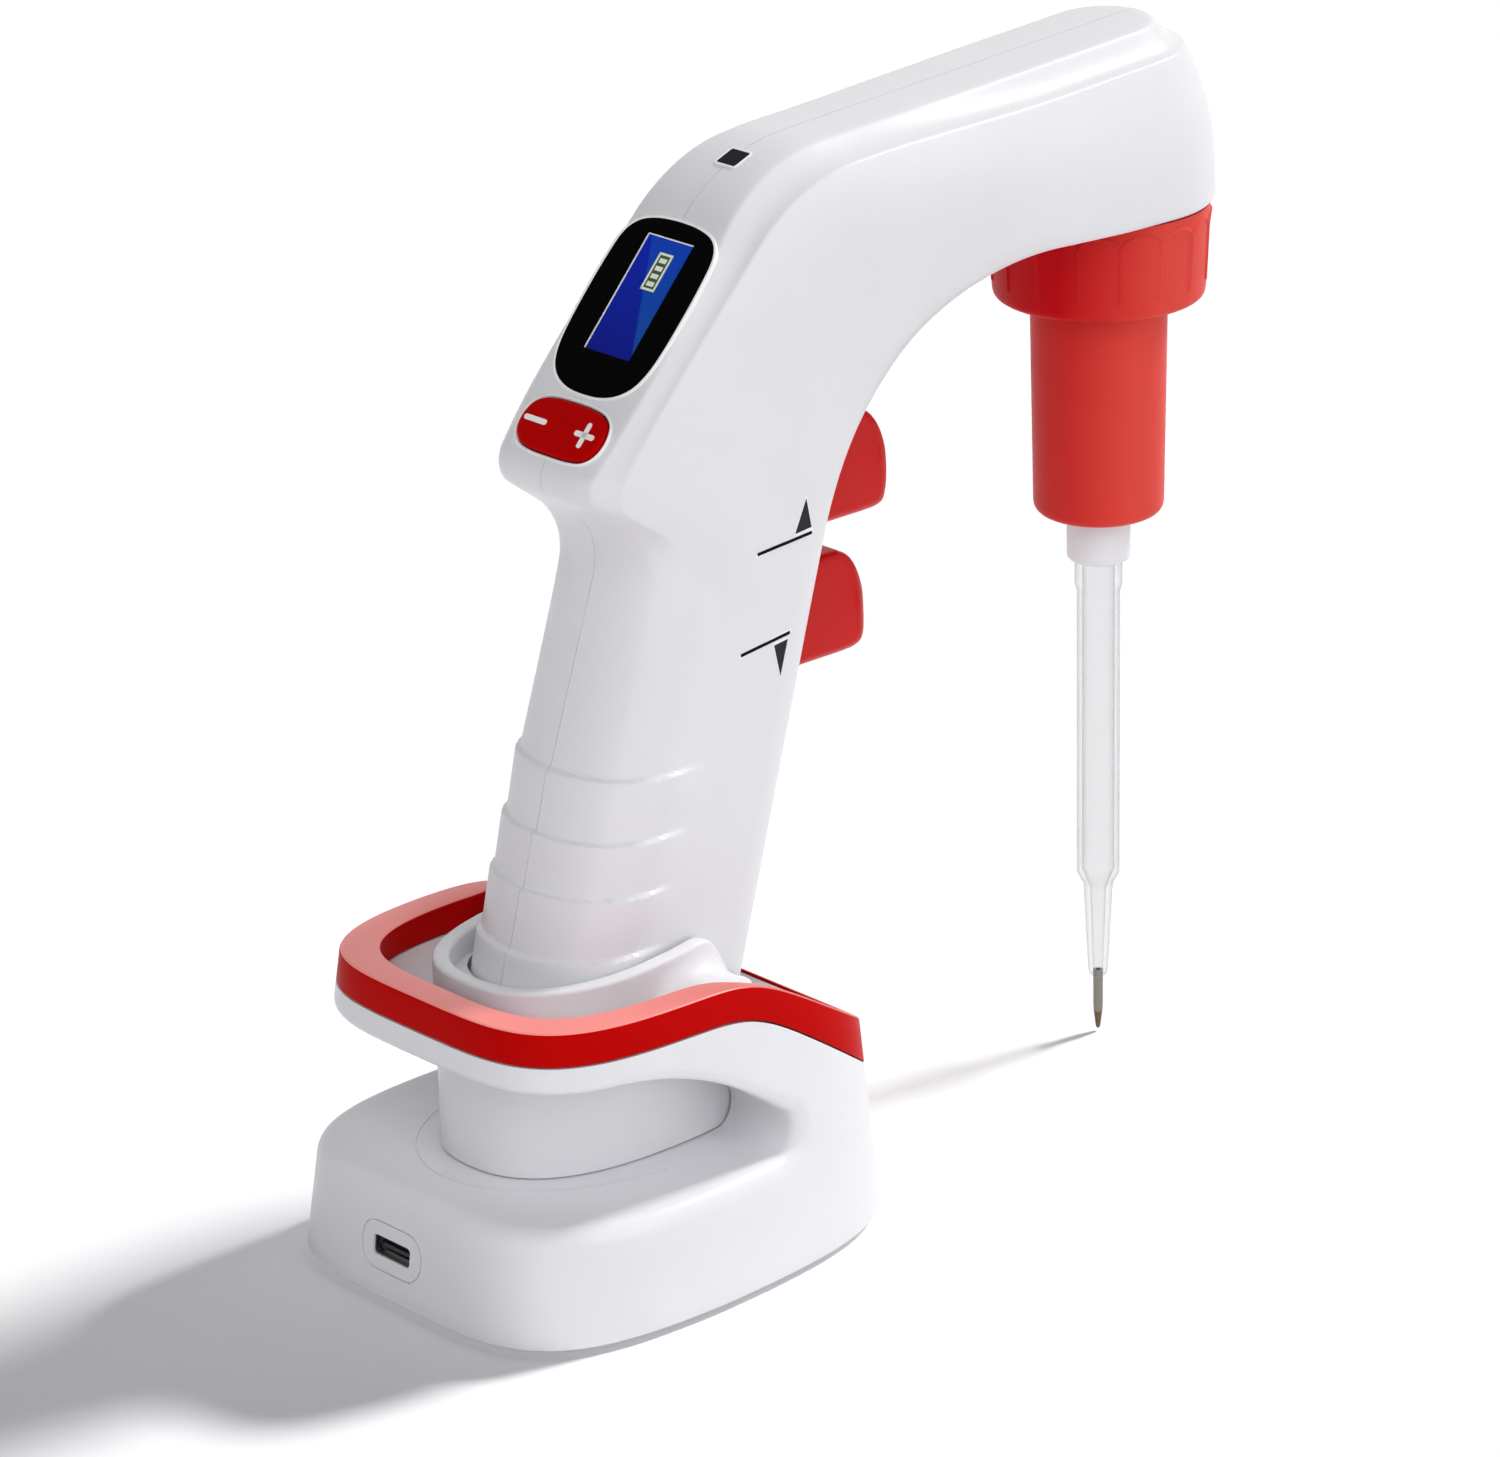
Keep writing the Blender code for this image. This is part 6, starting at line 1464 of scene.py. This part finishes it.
def make_ring():
    """The red trim round the stand's rim, with a painted sheen on its upper face."""
    sections = []
    for angle in even_angles(361, 50.0)[:-1]:
        x = plan_spot(angle, RIM_TOP)[0]
        width = trim_width(x)
        corners = [on_line(angle, band_height), on_line(angle, rim_height),
                   on_line(angle, rim_height, width), on_line(angle, band_height, width)]
        section = []
        for index, radius in enumerate((0.2, 0.55, 0.45, 0.2)):
            section += soft_corner(corners[index - 1], corners[index],
                                   corners[(index + 1) % 4], radius)
        sections.append(section)
    ring = linked("trim_band", hoop(sections))
    show(ring, RED, "stand", "red_trim", "ring_trim")
    # Faces that look up take the paler top tone: a painted sheen
    ring.data.materials.append(RED_TOP_PAINTED_SHEEN)
    for face in ring.data.polygons:
        face.material_index = int(face.normal.z > 0.55)


def cup_top(x):
    """The height of the cup's lip, which rises to a peak and falls to the arm."""
    if x < CUP_PEAK_X:
        share = max(0.0, (x + CUP_LENGTH / 2) / (CUP_PEAK_X + CUP_LENGTH / 2))
        return 57.0 + (CUP_PEAK - 57.0) * share ** 2
    share = min(1.0, (x - CUP_PEAK_X) / 9.6)
    saddle = rim_height(x) - 0.8
    return max(saddle, CUP_PEAK - 12.6 * (1 - (1 - share) ** 2)) if share < 1 else saddle


def grip_ring(distance, grow):
    """The grip's full cross section near its end, grown by a margin."""
    floor, crest = chord(3.0)
    depth = float(np.linalg.norm(floor - crest))
    line = half_section(SECTION_KEYS[-1, 1:], depth + 2 * grow, -grow, 0.0)
    ring = [(width, down - grow) for width, down in line]
    ring += [(-width, down - grow) for width, down in line[-2:0:-1]]
    return [grip_point(distance, depth - down, width) for width, down in ring]


def make_cup():
    """The white socket cup, its mouth cut to the grip's end."""
    sections = []
    cup_angles = np.linspace(0, 2 * math.pi, CUP_STATIONS + 1)[:-1]
    spots = np.array([cup_spot(angle, RIM_TOP) for angle in cup_angles])
    heights = np.array([cup_top(spot[0]) for spot in spots])
    around = np.concatenate([heights[-6:], heights, heights[:6]])
    heights = np.convolve(around, bell(np.arange(-6, 7) / 2.0), "valid")
    for angle, spot, top in zip(cup_angles, spots, heights):
        base = cup_spot(angle, SLAB_TOP + 0.3)
        rim_out = cup_spot(angle, top)
        rim_in = cup_spot(angle, top, CUP_WALL)
        spread = eased(within_one((spot[0] + 10.0) / 18.0))
        plan = even_match(spot)
        margin = trim_width(plan_spot(plan, RIM_TOP)[0]) + 0.3
        wide = on_line(plan, lambda x: rim_height(x) - 0.8, margin)
        wide_low = on_line(plan, band_height, margin)
        low = cup_spot(angle, min(BAND_LOW - 0.2, band_height(spot[0])))
        foot = low + (wide - low) * spread
        foot_low = low + (wide_low - low) * spread
        rim_out[2] = max(rim_out[2], foot[2])
        bend = np.array((rim_out[0], rim_out[1], foot[2]))
        flare = [(1 - s) ** 2 * rim_out + 2 * s * (1 - s) * bend + s * s * foot
                 for s in np.linspace(0, 1, 15)]
        inner_floor = rim_in.copy()
        inner_floor[2] = min(MOUTH_FLOOR, top)
        rim = soft_corner(inner_floor if top - inner_floor[2] > 0.3 else rim_in - (0, 0, 0.3),
                          rim_in, rim_out, min(0.7, max(0.0, (top - inner_floor[2]) * 0.4)), 4)
        edge = soft_corner(rim_in, rim_out, flare[2], 0.8, 4)
        sections.append([inner_floor] + rim + edge + flare[2:] + [foot_low, low, base])
    longest = max(len(section) for section in sections)
    shape = bmesh.new()
    grid = []
    for section in sections:
        section = [section[0]] * (longest - len(section)) + section
        grid.append([shape.verts.new(point) for point in section])
    grid.append(grid[0])
    add_strips(shape, grid)
    shape.faces.new([row[-1] for row in grid[:-1]])
    centre = np.array((CUP_CENTRE, 0.0, 0.0))
    rows = [[row[0] for row in grid[:-1]]]
    for share in (0.75, 0.5, 0.25):
        ring = []
        for section in sections:
            place = centre + (section[0] - centre) * share
            place[2] = min(MOUTH_FLOOR, cup_top(place[0]))
            ring.append(shape.verts.new(place))
        rows.append(ring)
    add_strips(shape, rows, wrap=True)
    shape.faces.new(rows[-1])
    cup = linked("cup_skin", mesh_from(shape))
    bottom = GRIP_LENGTH + END_CAP + CAP_PAD + CAP_PLAY
    seat = loft([grip_ring(distance, 0.7) for distance in (bottom, bottom / 2, 0.0)])
    carve(cup, [seat])
    show(cup, WHITE, "stand", "white_shell", "socket_cup")


def even_match(spot):
    """The plan angle that faces a point of the cup, seen from the cup's middle."""
    want = math.atan2(spot[1], spot[0] - CUP_CENTRE)
    fine = np.linspace(-math.pi, math.pi, 721)
    points = np.array([plan_spot(angle, 50.0, 4.0) for angle in fine])
    seen = np.arctan2(points[:, 1], points[:, 0] - CUP_CENTRE)
    return float(np.interp(want, seen, fine))


def dress_plain_parts():
    """Finishes for the parts that keep their plain shapes."""
    finishes = {"white_shell": WHITE, "red_trim": RED, "coral_nose": CORAL_PAINTED_SHADING,
                "grey_plastic": GREY, "dark_rubber": RUBBER, "steel": STEEL,
                "gold_contact": GOLD, "black_plastic": BLACK_PLASTIC,
                "black_window": LENS_BLACK, "green_board": BOARD, "blue_screen": BLACK_PLASTIC,
                "cell_sleeve": CELL, "white_silicone": SILICONE, "clear_tube": CLEAR}
    for part in frame["record"]["subparts"]:
        node = frame["nodes"][part["node"]]
        for place in node.material_slots:
            place.material = finishes[part["material_slot"]]


TABLE_REACH = 3000.0


def make_room():
    """A white table under a key lamp of its own, and three lamps for the piece."""
    shape = bmesh.new()
    shape.faces.new([shape.verts.new((x * TABLE_REACH, y * TABLE_REACH, 0))
                     for x, y in ((-1, -1), (1, -1), (1, 1), (-1, 1))])
    floor = linked("table_top", mesh_from(shape))
    finish = Finish("table_white", roughness=0.75, specular_ior_level=0.2)
    cloud = finish.noise(260.0, 2.0)
    finish.set("Base Color", finish.mix(cloud, (0.94, 0.94, 0.95), (0.96, 0.96, 0.97)))
    finish.set("Emission Color", (0.95, 0.96, 1.0))
    finish.set("Emission Strength", 0.2)
    floor.data.materials.append(finish.material)
    key = (-0.715, 0.10, -0.69)
    for name, energy, softness, colour, heading, lights_table in (
            ("key_lamp", 2.08, 8, (1.0, 0.99, 0.975), key, False),
            ("table_lamp", 3.1, 8, (1.0, 1.0, 0.99), key, True),
            ("fill_lamp", 0.84, 45, (0.98, 0.99, 1.0), (-0.20, 0.88, -0.42), False),
            ("side_lamp", 1.38, 50, (0.97, 0.98, 1.0), (0.62, 0.45, -0.64), False)):
        lamp = bpy.data.lights.new(name, "SUN")
        lamp.energy = energy
        lamp.angle = math.radians(softness)
        lamp.color = colour
        shone = linked(name, lamp)
        shone.rotation_euler = Vector(heading).to_track_quat("-Z", "Y").to_euler()
        table = bpy.data.collections.new(name + "_table")
        table.objects.link(floor)
        table.collection_objects[0].light_linking.link_state = (
            "INCLUDE" if lights_table else "EXCLUDE")
        shone.light_linking.receiver_collection = table
    make_world()


def make_world():
    """A dim room with a bright backdrop low down behind, seen as white by the camera."""
    world = bpy.data.worlds.new("pale_room")
    bpy.context.scene.world = world
    world.use_nodes = True
    tree = world.node_tree
    link = tree.links.new
    heading = tree.nodes.new("ShaderNodeTexCoord")
    toward = tree.nodes.new("ShaderNodeVectorMath")
    toward.operation = "DOT_PRODUCT"
    toward.inputs[1].default_value = Vector((0.64, 0.71, 0.25)).normalized()
    link(heading.outputs["Generated"], toward.inputs[0])
    spread = tree.nodes.new("ShaderNodeMapRange")
    spread.interpolation_type = "SMOOTHSTEP"
    for socket, value in (("From Min", 0.45), ("From Max", 0.95), ("To Min", 0.10),
                          ("To Max", 0.5)):
        spread.inputs[socket].default_value = value
    link(toward.outputs["Value"], spread.inputs["Value"])
    background = tree.nodes["Background"]
    background.inputs["Color"].default_value = (0.97, 0.98, 1.0, 1.0)
    link(spread.outputs["Result"], background.inputs["Strength"])
    seen = tree.nodes.new("ShaderNodeBackground")
    seen.inputs["Color"].default_value = (1.0, 1.0, 1.0, 1.0)
    rays = tree.nodes.new("ShaderNodeLightPath")
    blend = tree.nodes.new("ShaderNodeMixShader")
    shown = rays.outputs["Is Camera Ray"]
    for kind in ("Is Glossy Ray", "Is Transmission Ray"):
        either = tree.nodes.new("ShaderNodeMath")
        either.operation = "MAXIMUM"
        link(shown, either.inputs[0])
        link(rays.outputs[kind], either.inputs[1])
        shown = either.outputs[0]
    link(shown, blend.inputs[0])
    link(background.outputs[0], blend.inputs[1])
    link(seen.outputs[0], blend.inputs[2])
    link(blend.outputs[0], tree.nodes["World Output"].inputs[0])


# The photo's frame, in its pixels
PHOTO_WIDTH = 1500
PHOTO_HEIGHT = 1457
FOCAL = 6600.0                 # from the eye to the picture
SCALE = 5.3                    # pixels for each millimetre at the pipette's tip
TIP_PIXEL = (1098, 1028)
TIP_HEIGHT = 0.5


def make_camera():
    """The photo's view, aimed by the pixel where the pipette's tip shows."""
    azimuth, lowering, roll = math.radians(42), math.radians(21), math.radians(1.1)
    right = Vector((math.cos(azimuth), -math.sin(azimuth), 0))
    forward = Vector((math.sin(azimuth) * math.cos(lowering),
                      math.cos(azimuth) * math.cos(lowering), -math.sin(lowering)))
    up = right.cross(forward)
    rolled = right * math.cos(roll) - up * math.sin(roll)
    upright = right * math.sin(roll) + up * math.cos(roll)
    aim = Vector(((TIP_PIXEL[0] - PHOTO_WIDTH / 2) / FOCAL,
                  -(TIP_PIXEL[1] - PHOTO_HEIGHT / 2) / FOCAL, 1.0)) * (FOCAL / SCALE)
    place = Vector((NOZZLE_X, 0, TIP_HEIGHT)) - (
        rolled * aim.x + upright * aim.y + forward * aim.z)
    lens = bpy.data.cameras.new("camera")
    lens.sensor_width = 36.0
    lens.lens = FOCAL * lens.sensor_width / PHOTO_WIDTH
    lens.clip_start = 0.01
    lens.clip_end = 20.0
    camera = linked("camera", lens)
    axes = Matrix((rolled, upright, -forward)).transposed().to_4x4()
    camera.matrix_world = Matrix.Translation(place * MM) @ axes
    scene = bpy.context.scene
    scene.camera = camera
    scene.view_settings.view_transform = "Standard"


dress_plain_parts()
make_housings()
make_display()
make_rocker()
for trigger_name in TRIGGERS:
    make_trigger(trigger_name)
make_collar()
make_nosepiece()
make_pipette()
make_base_shell()
make_ring()
make_cup()
make_room()
make_camera()
